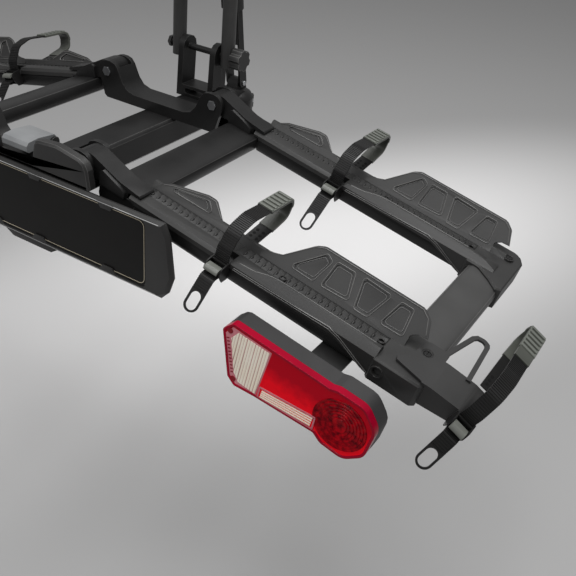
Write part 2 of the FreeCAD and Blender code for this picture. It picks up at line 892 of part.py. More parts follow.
def clamp_arm(x, length):
    """Collar on the hoop's crossbar, a rod and the clamp's fixed half."""
    pivot = Vector(x, MAST_Y, MAST_TOP)
    collar_side = pivot - X_AXIS * (ARM_COLLAR_W / 2)
    collar = disc(collar_side, X_AXIS, ARM_COLLAR_R, ARM_COLLAR_W, 2 * ROUND_SIDES)
    outer = JAW_TUBE_R + JAW_WALL
    bar_start = Vector(x, MAST_Y, MAST_TOP - length + outer - 2)
    bar = disc(bar_start, Z_AXIS, ARM_R, length - outer - ARM_COLLAR_R / 2, ROUND_SIDES)
    hinge = jaw_pivot(x, length)
    room_r = KNUCKLE_R + SIDE_GAP
    half_w = KNUCKLE_W / 2
    rooms = [
        disc(hinge - X_AXIS * half_w, X_AXIS * -1, room_r, JAW_LEN, ROUND_SIDES),
        disc(hinge + X_AXIS * half_w, X_AXIS, room_r, JAW_LEN, ROUND_SIDES),
        rod(pivot - X_AXIS * JAW_LEN, X_AXIS, MAST_R + RUN_GAP, 2 * JAW_LEN),
    ]
    tapped_hole = disc(
        screw_place(x, length), Z_AXIS, CLAMP_SCREW_R, JAW_SPLIT + SCREW_BITE, ROUND_SIDES
    )
    body = join([collar, bar, clamp_half(x, length, 1)]).cut(rooms + [tapped_hole])
    knuckle = disc(hinge - X_AXIS * half_w, X_AXIS, KNUCKLE_R, KNUCKLE_W, ROUND_SIDES)
    pin = rod(hinge - X_AXIS * (JAW_LEN / 2), X_AXIS, CLAMP_SCREW_R, JAW_LEN)
    return join([body, knuckle, pin])


def screw_place(x, length):
    """Where the clamp screw's axis meets the joint between the halves."""
    tail_mid = JAW_TUBE_R + JAW_WALL + JAW_TAIL / 2 - 1
    return Vector(x, MAST_Y - tail_mid, MAST_TOP - length)


def clamp_jaw_half(x, length):
    """Hinged lower half that closes round the bicycle's frame."""
    hinge = jaw_pivot(x, length)
    reach = JAW_LEN / 2
    gap = SIDE_GAP / 2
    inner = KNUCKLE_W / 2 + gap
    knuckles = [
        disc(hinge - X_AXIS * reach, X_AXIS, KNUCKLE_R, reach - inner, ROUND_SIDES),
        disc(hinge + X_AXIS * inner, X_AXIS, KNUCKLE_R, reach - inner, ROUND_SIDES),
    ]
    room_r = KNUCKLE_R + SIDE_GAP
    ear_room = disc(hinge - X_AXIS * inner, X_AXIS, room_r, 2 * inner, ROUND_SIDES)
    pin_hole = bore(hinge - X_AXIS * JAW_LEN, X_AXIS, CLAMP_SCREW_R, 2 * JAW_LEN)
    screw_hole = bore(screw_place(x, length), Z_AXIS * -1, CLAMP_SCREW_R, JAW_SEAT + 5)
    half = clamp_half(x, length, -1)
    return join([half.cut(ear_room)] + knuckles).cut([pin_hole, screw_hole])


def clamp_knob(x, length):
    """Knob with its screw, drawn backed out of the arm's tapped hole."""
    place = screw_place(x, length)
    seat = place - Z_AXIS * (JAW_SEAT + SEAT_GAP)
    knob = star_knob(seat, Z_AXIS * -1, JAW_TAIL / 2 - 1, KNOB_DEPTH)
    screw = rod(seat - Z_AXIS, Z_AXIS, CLAMP_SCREW_R, JAW_SEAT + SEAT_GAP + 1)
    return join([knob, screw])


# The wing, in its own frame


def rail_tube(offset_y):
    """Side rail, saddled to the inner beam and the end tube."""
    centre_y = offset_y - RAIL_FACE + RAIL_W / 2
    centre_z = RAIL_TOP - RAIL_H / 2
    start = BEAM_IN + BEAM_W + WELD_GAP
    end = END_TUBE_IN - WELD_GAP
    outer = shifted(bar_section(RAIL_W, RAIL_H, RAIL_R), centre_y, centre_z)
    inner = shifted(bar_section(RAIL_W, RAIL_H, RAIL_R, RAIL_WALL), centre_y, centre_z)
    return prism(outer, on_yz, start, end).cut(prism(inner, on_yz, start - 1, end + 1))


def side_rails():
    return Part.makeCompound([rail_tube(0), rail_tube(TRAY_PITCH)])


def cross_tube(low_x, width, back, front):
    """Flat tube along Y with welded end plates and a drain hole."""
    centre_x = low_x + width / 2
    centre_z = RAIL_TOP - RAIL_H / 2
    outer = shifted(bar_section(width, RAIL_H, RAIL_R), centre_x, centre_z)
    inner = shifted(bar_section(width, RAIL_H, RAIL_R, RAIL_WALL), centre_x, centre_z)
    body = prism(outer, on_xz, back, front)
    hollow = prism(inner, on_xz, back + RAIL_WALL, front - RAIL_WALL)
    drain_base = Vector(centre_x, back + 30, RAIL_TOP - RAIL_H - 1)
    drain = disc(drain_base, Z_AXIS, DRAIN_R, RAIL_WALL + 2, 8)
    return body.cut([hollow, drain])


def frame_front():
    return TRAY_PITCH - RAIL_FACE + RAIL_W


def inner_beam():
    return cross_tube(BEAM_IN, BEAM_W, -RAIL_FACE, frame_front())


def end_tube():
    return cross_tube(END_TUBE_IN, END_TUBE_W, -RAIL_FACE, frame_front())


def hinge_arm(offset_y):
    """Arm from the fold pin out over the inner beam to the tray's end."""
    px, pz = hinge_in_wing()
    back = offset_y + BARREL_BACK
    front = back + BARREL_W
    beam_out = BEAM_IN + BEAM_W
    profile = [
        (px + 2, pz - BARREL_R + 1),
        (BEAM_IN, RAIL_TOP, 4),
        (beam_out - 14, RAIL_TOP),
        (beam_out - 13, LIP_H + 1.5),
        (beam_out + 8, LIP_H + 1.5),
        (beam_out + 8, LIP_H + 6, 2),
        (beam_out - 32, LIP_H + 10, 20),
        (px + 12, pz + BARREL_R + 1, 24),
        (px, pz + BARREL_R),
    ]
    arm = prism(profile, on_xz, back, front)
    barrel = disc(Vector(px, back, pz), Y_AXIS, BARREL_R, BARREL_W, 2 * ROUND_SIDES)
    flange = prism(
        [
            (px + 34, pz + 12, 4),
            (BEAM_IN + 4, RAIL_TOP),
            (beam_out - 16, RAIL_TOP),
            (beam_out - 16, RAIL_TOP + 10, 3),
            (beam_out - 34, LIP_H + 8, 8),
        ],
        on_xz,
        back - 6,
        back + 1,
    )
    hole = bore(Vector(px, back - 1, pz), Y_AXIS, HINGE_PIN_R, BARREL_W + 2)
    return join([arm, barrel, flange]).cut(hole)


def hinge_arms():
    return Part.makeCompound([hinge_arm(0), hinge_arm(TRAY_PITCH)])


def tray_section(x, ridge, skirt):
    """Cross-section of the tray; ridge runs from a flat ledge 0 to a ridge 1."""
    half = CHANNEL_W / 2
    far = -RAIL_FACE + RAIL_W + 1
    inner = -RAIL_FACE - SEAT_GAP
    points = [
        (LIP_Y, skirt),
        (LIP_Y, LIP_H - 5),
        (LIP_Y + 5 + 6 * ridge, LIP_H + 6 * ridge),
        (-20 - ridge, LIP_H + 6 * ridge),
        (-half - 2, LIP_H - 3 * ridge),
        (-half, CHANNEL_Z),
        (half, CHANNEL_Z),
        (GUARD_Y, GUARD_Z),
        (far - 3, GUARD_Z),
        (far, GUARD_Z - 7),
        (far, RAIL_TOP),
        (inner, RAIL_TOP),
        (inner, skirt),
    ]
    return [on_yz(y, z, x) for y, z in points]


def tray_base(bare_end):
    """Lofted trough whose near ledge swells into a ridge past the strap."""
    low = RAIL_TOP - RAIL_H - 1
    stations = [
        (TRAY_IN, 0.0, 5.0),
        (-70.0, 0.0, 5.0),
        (-48.0, 0.2, 5.0),
        (-26.0, 0.75, 5.0),
        (-6.0, 1.0, 5.0),
        (95.0, 1.0, 4.0),
        (128.0, 1.0, -8.0),
        (TRAY_END, 0.9, low),
    ]
    if bare_end:
        stations += [(TRAY_END + 24, 0.6, low), (TRAY_END + 44, -0.2, low)]
    sections = [tray_section(x, ridge, skirt) for x, ridge, skirt in stations]
    return lofted(sections)


def tray_ribs():
    """Row of cross ribs on the channel floor, as one toothed comb."""
    count = int((TRAY_END - TRAY_IN - 24) / RIB_PITCH)
    start = TRAY_IN + 12
    corners = [(start - 2, CHANNEL_Z - 1)]
    for index in range(count):
        x = start + index * RIB_PITCH
        corners.append((x, CHANNEL_Z + 0.2))
        corners.append((x + RIB_W / 2, CHANNEL_Z + RIB_H))
    corners.append((start + count * RIB_PITCH, CHANNEL_Z - 1))
    return prism(corners, on_xz, -CHANNEL_W / 2 + 1, CHANNEL_W / 2 - 1)


BIG_GUARD = [
    (-62, -10),
    (-62, 1, 6),
    (-34, 5, 20),
    (2, 44, 10),
    (14, 50, 10),
    (176, 49, 10),
    (190, 39, 5),
    (200, 15),
    (186, 14, 3),
    (177, 8, 3),
    (178, -10),
]
BIG_POCKETS = [
    [(-15, 1, 3), (23, 1, 3), (32, 34, 3), (21, 40, 3)],
    [(38, 1, 3), (79, 3, 3), (68, 38, 3), (41, 38, 3)],
    [(94, -1, 3), (114, -1, 3), (127, 38, 3), (84, 40, 3)],
    [(135, 1, 3), (168, 2, 3), (163, 37, 3), (145, 37, 3)],
]
SMALL_GUARD = [
    (-254, -10),
    (-250, 1, 3),
    (-234, 10, 6),
    (-176, 24, 6),
    (-162, 24, 6),
    (-137, 2, 6),
    (-120, -1),
    (-120, -10),
]
SMALL_POCKETS = [[(-230, 1, 1), (-226, 6, 2), (-173, 16, 3), (-156, 2, 3)]]


def guard(outline, pockets):
    """Sloping wheel guard with a raised rim and sunk panels."""
    plate = prism(outline, on_xy, -GUARD_T, 0)
    sunk = [prism(pocket, on_xy, -POCKET_DEPTH, 1) for pocket in pockets]
    plate = plate.cut(sunk)
    plate.rotate(ORIGIN, X_AXIS, GUARD_SLOPE)
    plate.translate(Vector(0, GUARD_Y, GUARD_Z))
    return plate


def end_cap(collar):
    """Moulded sleeve round the end tube; the collar lengthens its outer side."""
    far = END_TUBE_IN + END_TUBE_W
    low = RAIL_TOP - RAIL_H
    near = LIP_Y - 2
    plan = [
        (TRAY_END - 4, near, 4),
        (END_TUBE_IN + 16, near, 6),
        (END_TUBE_IN + 40, near - 0.4 * collar, 12),
        (far + CAP_WALL, near - collar, 6),
        (far + CAP_WALL, 40, 16),
        (far - 14, 52, 12),
        (TRAY_END - 4, 52, 3),
    ]
    if collar == 0:
        plan = plan[:1] + plan[3:]
    shell = prism(plan, on_xy, low - CAP_WALL, CAP_TOP)
    top = [e for e in shell.Edges if e.BoundBox.ZMin > CAP_TOP - 0.1]
    return shell.makeChamfer(2.5, top)


def tray(closed_back, bare_end):
    """Whole wheel tray: trough, ribs, guards and the outer end cap."""
    fit = SEAT_GAP
    low = RAIL_TOP - RAIL_H
    centre_x = END_TUBE_IN + END_TUBE_W / 2
    centre_z = RAIL_TOP - RAIL_H / 2
    bar = shifted(
        bar_section(END_TUBE_W + 2 * fit, RAIL_H + 2 * fit, RAIL_R + fit), centre_x, centre_z
    )
    back = -RAIL_FACE - fit if closed_back else -100
    front = 100 if closed_back else -RAIL_FACE + RAIL_W + fit
    tunnel = prism(bar, on_xz, back, front)
    rail_bar = shifted(
        bar_section(RAIL_W + 2 * fit, RAIL_H + 2 * fit, RAIL_R + fit),
        -RAIL_FACE + RAIL_W / 2,
        centre_z,
    )
    rail_room = prism(rail_bar, on_yz, TRAY_IN - 10, END_TUBE_IN + 1)
    strap_half = STRAP_W / 2 + 2.5
    strap_notch = block(
        STRAP_X - strap_half, STRAP_X + strap_half, LIP_Y - 5, -CHANNEL_W / 2 - 6, 0, 40
    )
    plug_face = Vector(PLUG_X, LIP_Y - 4, PLUG_Z)
    socket = disc(plug_face, Y_AXIS, PLUG_R, 14, ROUND_SIDES)
    socket_hole = disc(plug_face - Y_AXIS, Y_AXIS, PLUG_R - PLUG_WALL, 7, ROUND_SIDES)
    screw_boss = disc(Vector(BOSS_X, BOSS_Y, CAP_TOP - 6), Z_AXIS, BOSS_R, 9, ROUND_SIDES)
    screw_seat = disc(Vector(BOSS_X, BOSS_Y, CAP_TOP), Z_AXIS, SCREW_R + 1.2, 9, ROUND_SIDES)
    beam_room = block(TRAY_IN - 1, BEAM_IN + BEAM_W + fit, LIP_Y - 1, 60, low - 1, RAIL_TOP)
    body = join(
        [
            tray_base(bare_end),
            tray_ribs(),
            guard(BIG_GUARD, BIG_POCKETS),
            guard(SMALL_GUARD, SMALL_POCKETS),
            end_cap(0 if closed_back else COLLAR),
            socket,
            screw_boss,
        ]
    )
    return body.cut([tunnel, rail_room, beam_room, strap_notch, socket_hole, screw_seat])


def rear_tray(bare_end):
    return tray(True, bare_end)


def front_tray(bare_end):
    shape = tray(False, bare_end)
    shape.translate(Vector(0, TRAY_PITCH, 0))
    return shape


def tray_screws():
    """One slotted screw in each tray's end boss."""
    screws = []
    for offset in (0, TRAY_PITCH):
        y = BOSS_Y + offset
        head = disc(Vector(BOSS_X, y, CAP_TOP), Z_AXIS, SCREW_R, 3, ROUND_SIDES)
        slot = block(BOSS_X - 0.8, BOSS_X + 0.8, y - 6, y + 6, CAP_TOP + 2, CAP_TOP + 4)
        screws.append(head.cut(slot))
    return Part.makeCompound(screws)


# Strap sets are drawn across X = 0 at the tray's section, then moved


def strap_path(reach):
    """Route of a strap: tail, buckle, loop over the wheel, anchored end."""
    face = -RAIL_FACE - 3 - SEAT_GAP - STRAP_T / 2
    points = [
        (-98, -50, 0),
        (-67, -5, 9),
        (face, -3, 5),
        (face, 24, 14),
        (-22, 46, 18),
        (8, 57, 36),
        (reach - 66, 59, 0),
        (reach, 59, 14),
        (reach - 6, 26, 14),
        (reach - 44, 17, 0),
        (-RAIL_FACE + RAIL_W + 2, 11, 0),
    ]
    return [(on_yz(y, z), radius) for y, z, radius in points]


def strap(reach):
    return strip(rounded_line(strap_path(reach)), X_AXIS, STRAP_W, STRAP_T)


def strap_pad(reach):
    """Sleeve on the strap where it bears on the tyre."""
    route = strap_path(reach)
    width = STRAP_W + 2 * PAD_OVER
    outer = strip(rounded_line(route[6:10]), X_AXIS, width, STRAP_T + 2 * PAD_T)
    fit = 2 * SEAT_GAP
    room = strip(rounded_line(route[5:]), X_AXIS, STRAP_W + fit, STRAP_T + fit)
    return outer.cut(room)


LEVER_PIVOT = (-53.0, 5.5)


def strap_buckle():
    """Two cheeks, the web on the rail and the pin of the buckle."""
    half = STRAP_W / 2 + SEAT_GAP
    y, z = LEVER_PIVOT
    cheek = [
        (-RAIL_FACE, -16),
        (-RAIL_FACE, 4.7),
        (-RAIL_FACE - 3, 4.7),
        (-RAIL_FACE - 3, 14),
        (y - 4, z + 6, 4),
        (y - 8, z - 5, 4),
        (y + 4, -16),
    ]
    left = prism(cheek, on_yz, -half - BUCKLE_T, -half)
    right = prism(cheek, on_yz, half, half + BUCKLE_T)
    web = block(-half - 0.5, half + 0.5, -RAIL_FACE - 3, -RAIL_FACE, -16, 4.7)
    bridge = block(-half - 0.5, half + 0.5, -RAIL_FACE - 10, -RAIL_FACE - 7, 9, 12)
    pin_start = Vector(-half - 1, y, z)
    pin = disc(pin_start, X_AXIS, BUCKLE_PIN_R, 2 * half + 2, BUCKLE_PIN_SIDES)
    return join([left, right, web, bridge, pin])


def buckle_lever():
    """Ratchet lever that presses the strap against the buckle's web."""
    y, z = LEVER_PIVOT
    half = STRAP_W / 2 - SIDE_GAP
    hub = rod(Vector(-half, y, z), X_AXIS, 2 * BUCKLE_PIN_R, 2 * half)
    blade = prism(
        [
            (y + 1, z + 4),
            (y - 9, z + 4, 4),
            (y - 13, z - 2, 1),
            (y - 11, z - 4, 1),
            (y - 7, z - 1, 3),
            (y, z - 1),
        ],
        on_yz,
        -half,
        half,
    )
    corner_r = BUCKLE_PIN_R + 3 * RUN_GAP
    hole = disc(Vector(-half - 1, y, z), X_AXIS, corner_r, 2 * half + 2, BUCKLE_PIN_SIDES)
    return join([hub, blade]).cut(hole)


def at_rear(shape):
    placed = shape.copy()
    placed.translate(Vector(STRAP_X, 0, 0))
    return placed


def at_front(shape):
    placed = shape.copy()
    placed.translate(Vector(STRAP_X, TRAY_PITCH, 0))
    return placed


def at_outer(shape, offset_y):
    """Strap seat on the extension, which leans outward."""
    placed = shape.copy()
    placed.rotate(Vector(0, 0, RAIL_TOP), Y_AXIS, OUTER_STRAP_LEAN)
    placed.translate(Vector(OUTER_STRAP_X, offset_y, 0))
    return placed


def strap_set(maker, mid_reach, outer_reach, offset_y):
    mid = maker(mid_reach) if mid_reach else maker()
    outer = maker(outer_reach) if outer_reach else maker()
    return Part.makeCompound([at_rear(mid), at_front(mid), at_outer(outer, offset_y)])


def extension_cradle(offset_y):
    """Bolted arm that carries the outermost wheel strap, with its bail."""
    far = END_TUBE_IN + END_TUBE_W + CAP_WALL
    top = CAP_TOP
    saddle = prism(
        [
            (far - 54, -20, 4),
            (far + 2, -34, 4),
            (far + 2, 46, 4),
            (far - 34, 46, 6),
            (far - 38, 8, 4),
        ],
        on_xy,
        top,
        top + 4,
    )
    boss_room = disc(Vector(BOSS_X, BOSS_Y, top - 1), Z_AXIS, BOSS_R + SEAT_GAP, 6, ROUND_SIDES)
    saddle = saddle.cut(boss_room)
    deck = prism(
        [
            (far - 6, top, 0),
            (far - 6, top + 4, 0),
            (far + 8, top + 4, 8),
            (OUTER_STRAP_X - 14, RAIL_TOP + 4.6, 10),
            (OUTER_STRAP_X - 2, RAIL_TOP + 0.6),
            (OUTER_STRAP_X - 3, RAIL_TOP - 4),
            (far + 4, top - 2, 6),
            (far + 4, -18),
            (far + 0.3, -18),
            (far + 0.3, top, 0),
        ],
        on_xz,
        -34,
        27,
    )
    gussets = []
    for y in (-34, 23):
        gussets.append(
            prism(
                [
                    (far + 1, -18, 3),
                    (far + 1, top - 1),
                    (OUTER_STRAP_X - 10, RAIL_TOP),
                    (OUTER_STRAP_X - 4, -14, 4),
                ],
                on_xz,
                y,
                y + 4,
            )
        )
    seat = block(-STRAP_W / 2 - 3, STRAP_W / 2 + 3, -RAIL_FACE, -RAIL_FACE + RAIL_W + 1, -16, RAIL_TOP)
    hollow = block(-STRAP_W / 2, STRAP_W / 2, -RAIL_FACE + 3, -RAIL_FACE + RAIL_W - 2, -17, RAIL_TOP - 3)
    seat = at_outer(seat.cut(hollow), 0)
    bail_z = top + BAIL_T / 2 + SEAT_GAP
    bail = [
        (Vector(far - 6, 30, bail_z), 0),
        (Vector(far + 14, 116, bail_z), 10),
        (Vector(far + 34, 110, bail_z), 10),
        (Vector(far + 40, 20, bail_z), 0),
    ]
    loop = strip(rounded_line(bail), Z_AXIS, BAIL_T, BAIL_W)
    body = join([saddle, deck, seat, loop] + gussets)
    body.translate(Vector(0, offset_y, 0))
    return body


# The lamp under the tray's outer half

LENS_OUTLINE = [
    (-26, -26, 7),
    (-13, -9, 8),
    (140, -9, 6),
    (150, -5, 8),
    (192, -5, 22),
    (217, -30, 24),
    (217, -78, 24),
    (192, -104, 22),
    (156, -102, 16),
    (142, -93, 6),
    (48, -101, 10),
    (14, -106, 8),
    (1, -97, 8),
]
WINDOW_OUTLINE = [
    (-15, -28, 3),
    (-8, -17, 3),
    (49, -17, 1),
    (47, -97, 1),
    (15, -98, 3),
    (5, -86, 3),
]


def inset_outline(corners, inset):
    """Same outline drawn in towards its middle by about the inset."""
    mid_x = sum(c[0] for c in corners) / len(corners)
    mid_z = sum(c[1] for c in corners) / len(corners)
    half_w = max(abs(c[0] - mid_x) for c in corners)
    half_h = max(abs(c[1] - mid_z) for c in corners)
    result = []
    for x, z, radius in corners:
        result.append(
            (
                mid_x + (x - mid_x) * (1 - inset / half_w),
                mid_z + (z - mid_z) * (1 - inset / half_h),
                max(radius - inset, 0.8),
            )
        )
    return result


def lamp_housing():
    joint_y = LAMP_FACE + LAMP_LENS_D
    back = LAMP_FACE + LAMP_DEPTH
    body = prism(LENS_OUTLINE, on_xz, joint_y, back)
    rear_edges = [e for e in body.Edges if e.BoundBox.YMin > back - 0.1]
    body = body.makeChamfer(4, rear_edges)
    room = prism(inset_outline(LENS_OUTLINE, LAMP_WALL), on_xz, joint_y - 1, back - LAMP_WALL - 1)
    gland = disc(Vector(60, back - 2, -60), Y_AXIS, 9, 9, 12)
    gland_hole = disc(Vector(60, back - 10, -60), Y_AXIS, 3.2, 20, 10)
    return join([body.cut(room), gland]).cut(gland_hole)


def lamp_lens():
    joint_y = LAMP_FACE + LAMP_LENS_D
    body = prism(LENS_OUTLINE, on_xz, LAMP_FACE, joint_y)
    face_edges = [e for e in body.Edges if e.BoundBox.YMax < LAMP_FACE + 0.1]
    body = body.makeChamfer(1.5, face_edges)
    inner = inset_outline(LENS_OUTLINE, LAMP_WALL)
    room = prism(inner, on_xz, LAMP_FACE + LAMP_WALL, joint_y + 1)
    window = prism(WINDOW_OUTLINE, on_xz, LAMP_FACE - 1, LAMP_FACE + LAMP_WALL + 1)
    return body.cut([room, window])


def lamp_window():
    return prism(
        inset_outline(WINDOW_OUTLINE, LAMP_FIT), on_xz, LAMP_FACE, LAMP_FACE + LAMP_WALL
    )


def lamp_bulbs():
    """Three bulbs that stand on the housing's back wall."""
    back = LAMP_FACE + LAMP_DEPTH - LAMP_WALL - 1
    bulbs = []
    for x, z in ((20, -55), (95, -50), (172, -55)):
        base = disc(Vector(x, back, z), Y_AXIS * -1, 7, 10, 8)
        glass = disc(Vector(x, back - 9, z), Y_AXIS * -1, 9, 14, 10)
        bulbs.append(join([base, glass]))
    return Part.makeCompound(bulbs)


def lamp_bracket():
    """Folded plate from under the rear rail to the lamp's back."""
    back = LAMP_FACE + LAMP_DEPTH
    rail_low = RAIL_TOP - RAIL_H
    fold = prism(
        [
            (-RAIL_FACE + 40, rail_low),
            (-RAIL_FACE + 40, rail_low - 3),
            (back + 3, rail_low - 3, 1),
            (back + 3, -84),
            (back, -84),
            (back, rail_low, 4),
        ],
        on_yz,
        84,
        132,
    )
    return fold


def export(name, shape):
    shape.exportStep("parts/" + name + ".step")


def make_wing(side, place, outer_tray):
    """Every node of one wing, placed on its side of the car."""
    nodes = {
        "inner_beam": inner_beam(),
        "end_tube": end_tube(),
        "side_rails": side_rails(),
        "hinge_arms": hinge_arms(),
        "rear_tray": rear_tray(bare_end=outer_tray > 0),
        "front_tray": front_tray(bare_end=outer_tray == 0),
        "tray_screws": tray_screws(),
        "wheel_straps": strap_set(strap, MID_LOOP, OUTER_LOOP, outer_tray),
        "strap_pads": strap_set(strap_pad, MID_LOOP, OUTER_LOOP, outer_tray),
        "strap_buckles": strap_set(strap_buckle, None, None, outer_tray),
        "rear_strap_lever": at_rear(buckle_lever()),
        "front_strap_lever": at_front(buckle_lever()),
        "outer_strap_lever": at_outer(buckle_lever(), outer_tray),
        "extension_cradle": extension_cradle(outer_tray),
        "lamp_housing": lamp_housing(),
        "lamp_lens": lamp_lens(),
        "lamp_window": lamp_window(),
        "lamp_bulbs": lamp_bulbs(),
        "lamp_bracket": lamp_bracket(),
    }
    for name, shape in nodes.items():
        export(side + "_" + name, place(shape))


def make_centre():
    nodes = {
        "ball_housing": ball_housing(),
        "clamp_jaw": clamp_jaw(),
        "coupling_pins": coupling_pins(),
        "coupling_lever": coupling_lever(),
        "lever_grip": lever_grip(),
        "main_spine": main_spine(),
        "hinge_brackets": hinge_brackets(),
        "hinge_pins": hinge_pins(),
        "centre_cover": centre_cover(),
        "tilt_pedal": tilt_pedal(),
        "pedal_bracket": pedal_bracket(),
        "plate_holder": plate_holder(),
        "number_plate": number_plate(),
        "mast_foot": mast_foot(),
        "mast_hoop": mast_hoop(),
        "mast_lock_knob": mast_lock_knob(),
        "rear_clamp_arm": clamp_arm(-ARM_OFFSET, REAR_ARM),
        "rear_clamp_jaw": clamp_jaw_half(-ARM_OFFSET, REAR_ARM),
        "rear_clamp_knob": clamp_knob(-ARM_OFFSET, REAR_ARM),
        "front_clamp_arm": clamp_arm(ARM_OFFSET, FRONT_ARM),
        "front_clamp_jaw": clamp_jaw_half(ARM_OFFSET, FRONT_ARM),
        "front_clamp_knob": clamp_knob(ARM_OFFSET, FRONT_ARM),
    }
    for name, shape in nodes.items():
        export(name, shape)


def main():
    os.makedirs("parts", exist_ok=True)
    make_centre()
    make_wing("right", on_right, 0)
    make_wing("left", on_left, TRAY_PITCH)


main()
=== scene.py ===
import json
import math

import bmesh
import bpy
from mathutils import Euler, Matrix, Vector
from mathutils.bvhtree import BVHTree


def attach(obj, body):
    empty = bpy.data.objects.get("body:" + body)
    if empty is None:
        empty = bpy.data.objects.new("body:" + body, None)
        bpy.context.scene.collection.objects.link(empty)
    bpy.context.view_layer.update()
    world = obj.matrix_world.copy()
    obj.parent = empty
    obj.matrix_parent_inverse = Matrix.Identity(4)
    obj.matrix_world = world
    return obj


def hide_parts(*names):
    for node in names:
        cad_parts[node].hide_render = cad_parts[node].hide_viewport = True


# Looks of a platform carrier for two bicycles. Metres, in the part's own frame:
# X right as seen from behind, Y forward to the car, Z up.

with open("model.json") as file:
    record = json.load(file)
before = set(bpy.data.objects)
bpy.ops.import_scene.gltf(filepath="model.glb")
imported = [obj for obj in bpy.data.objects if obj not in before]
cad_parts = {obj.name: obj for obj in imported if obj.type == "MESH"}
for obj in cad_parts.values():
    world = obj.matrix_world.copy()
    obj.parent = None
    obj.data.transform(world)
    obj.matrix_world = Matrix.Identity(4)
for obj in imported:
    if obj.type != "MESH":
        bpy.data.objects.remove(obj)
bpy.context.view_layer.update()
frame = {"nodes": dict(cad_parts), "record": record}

# Camera that stands where the photograph was taken
CAMERA_PLACE = (0.9305, -1.3733, 0.6486)
CAMERA_TURN = (56.836, -5.004, 32.186)
CAMERA_LENS = 52.448
CAMERA_REACH = 50
SENSOR_WIDTH = 36.0

# Studio lights as place, aim, size and power, and the even light of the room
LIGHTS = {
    "ceiling_softbox": ((0.7, -0.2, 2.9), (0.3, -0.3, 0), (3.2, 2.4), 105),
    "front_softbox": ((-0.2, -2.1, 1.9), (0.4, -0.4, 0), (2.2, 0.9), 19),
}
ROOM_LIGHT = 0.32

FLOOR_Z = -0.62
FLOOR_HALF = 20.0
FLOOR_ROUGH = 0.9
FLOOR_SPECULAR = 0.2

# Painted pool of light on the floor, an oval given as centre, turn, half axes, and colours at
# shares of them
GLOW_CENTRE = (-0.066, 0.559, FLOOR_Z)
GLOW_TURN = -0.416
GLOW_SIZE = (0.811, 2.147, 1.0)
GLOW_STOPS = ((0.1, (0.85, 0.843, 0.843, 1)), (1.0, (0.39, 0.388, 0.388, 1)))

# A wing's own frame: origin on the rear tray's channel, X outward, Y forward
WING_DROOP = math.radians(12)
WING_PLACE = Vector((0.459, -0.520, 0.015))
TRAY_PITCH = 0.320
RIGHT_WING = Matrix.Translation(WING_PLACE) @ Matrix.Rotation(WING_DROOP, 4, "Y")
LEFT_WING = Matrix.Scale(-1, 4, (1, 0, 0)) @ RIGHT_WING
WINGS = {"right": RIGHT_WING, "left": LEFT_WING}

# Turns a shape that was drawn about Z so that it faces backward
TO_FRONT = Matrix.Rotation(math.pi / 2, 4, "X")

# Points of a solid's facets that lie closer than this are one, and so are levels
SAME_PLACE = 0.00002

# Points of a closed bar's two ends that lie closer than this are one
SAME_END = 0.000001

NODE_BODY = {
    member: body
    for body, members in frame["record"]["behaviour"]["bodies"].items()
    for member in members
}
NODE_SLOT = {entry["node"]: entry["material_slot"] for entry in frame["record"]["subparts"]}


# Shader helpers

GRAIN_PER_METRE = 900.0
CLOUD_PER_METRE = 14.0
GRAIN_DETAIL = 3.0
CLOUD_DETAIL = 4.0
GRAIN_HEIGHT = 0.0004
CLOUD_ENDS = (0.32, 0.68)
STREAKS_PER_METRE = 70.0
STREAK_SPAN = (0.6, 1.4)
FIELD_ROUGH = 0.2
FIELD_SPECULAR = 0.06


def link(tree, source, target):
    """Joins an output to an input."""
    tree.links.new(source, target)


def add_node(tree, kind, values=None, **settings):
    """Shader node with its settings, and values for its inputs."""
    node = tree.nodes.new("ShaderNode" + kind)
    for name, value in settings.items():
        setattr(node, name, value)
    for name, value in (values or {}).items():
        node.inputs[name].default_value = value
    return node


def grain_group():
    """Fine moulded grain, as a height, and soft clouds over the surface."""
    group = bpy.data.node_groups.new("Moulded grain", "ShaderNodeTree")
    kind = "NodeSocketFloat"
    for size, value in (("Grain per metre", GRAIN_PER_METRE), ("Cloud per metre", CLOUD_PER_METRE)):
        socket = group.interface.new_socket(name=size, in_out="INPUT", socket_type=kind)
        socket.default_value = value
    for result in ("Height", "Cloud"):
        group.interface.new_socket(name=result, in_out="OUTPUT", socket_type=kind)
    entry = group.nodes.new("NodeGroupInput")
    leave = group.nodes.new("NodeGroupOutput")
    place = add_node(group, "TexCoord")
    for size, result, detail in (
        ("Grain per metre", "Height", GRAIN_DETAIL),
        ("Cloud per metre", "Cloud", CLOUD_DETAIL),
    ):
        noise = add_node(group, "TexNoise", {"Detail": detail})
        link(group, place.outputs["Object"], noise.inputs["Vector"])
        link(group, entry.outputs[size], noise.inputs["Scale"])
        link(group, noise.outputs["Fac"], leave.inputs[result])
    return group


GRAIN = grain_group()


def plain_material(name):
    """New material with its node tree and its shader."""
    material = bpy.data.materials.new(name)
    material.use_nodes = True
    return material, material.node_tree, material.node_tree.nodes["Principled BSDF"]


def ramp(tree, factor, stops, way="LINEAR"):
    """Colour that runs between two stops, each a share of the factor and a colour."""
    node = add_node(tree, "ValToRGB")
    node.color_ramp.interpolation = way
    for stop, (share, colour) in zip(node.color_ramp.elements, stops):
        stop.position = share
        stop.color = colour
    link(tree, factor, node.inputs["Fac"])
    return node.outputs["Color"]


def between(tree, factor, low, high):
    """Colour that runs from low to high over the middle of the factor."""
    return ramp(tree, factor, list(zip(CLOUD_ENDS, (low + (1.0,), high + (1.0,)))))


def spread(tree, factor, low, high):
    """Number that runs from low to high with the factor."""
    node = add_node(tree, "MapRange", {"To Min": low, "To Max": high})
    link(tree, factor, node.inputs["Value"])
    return node.outputs["Result"]


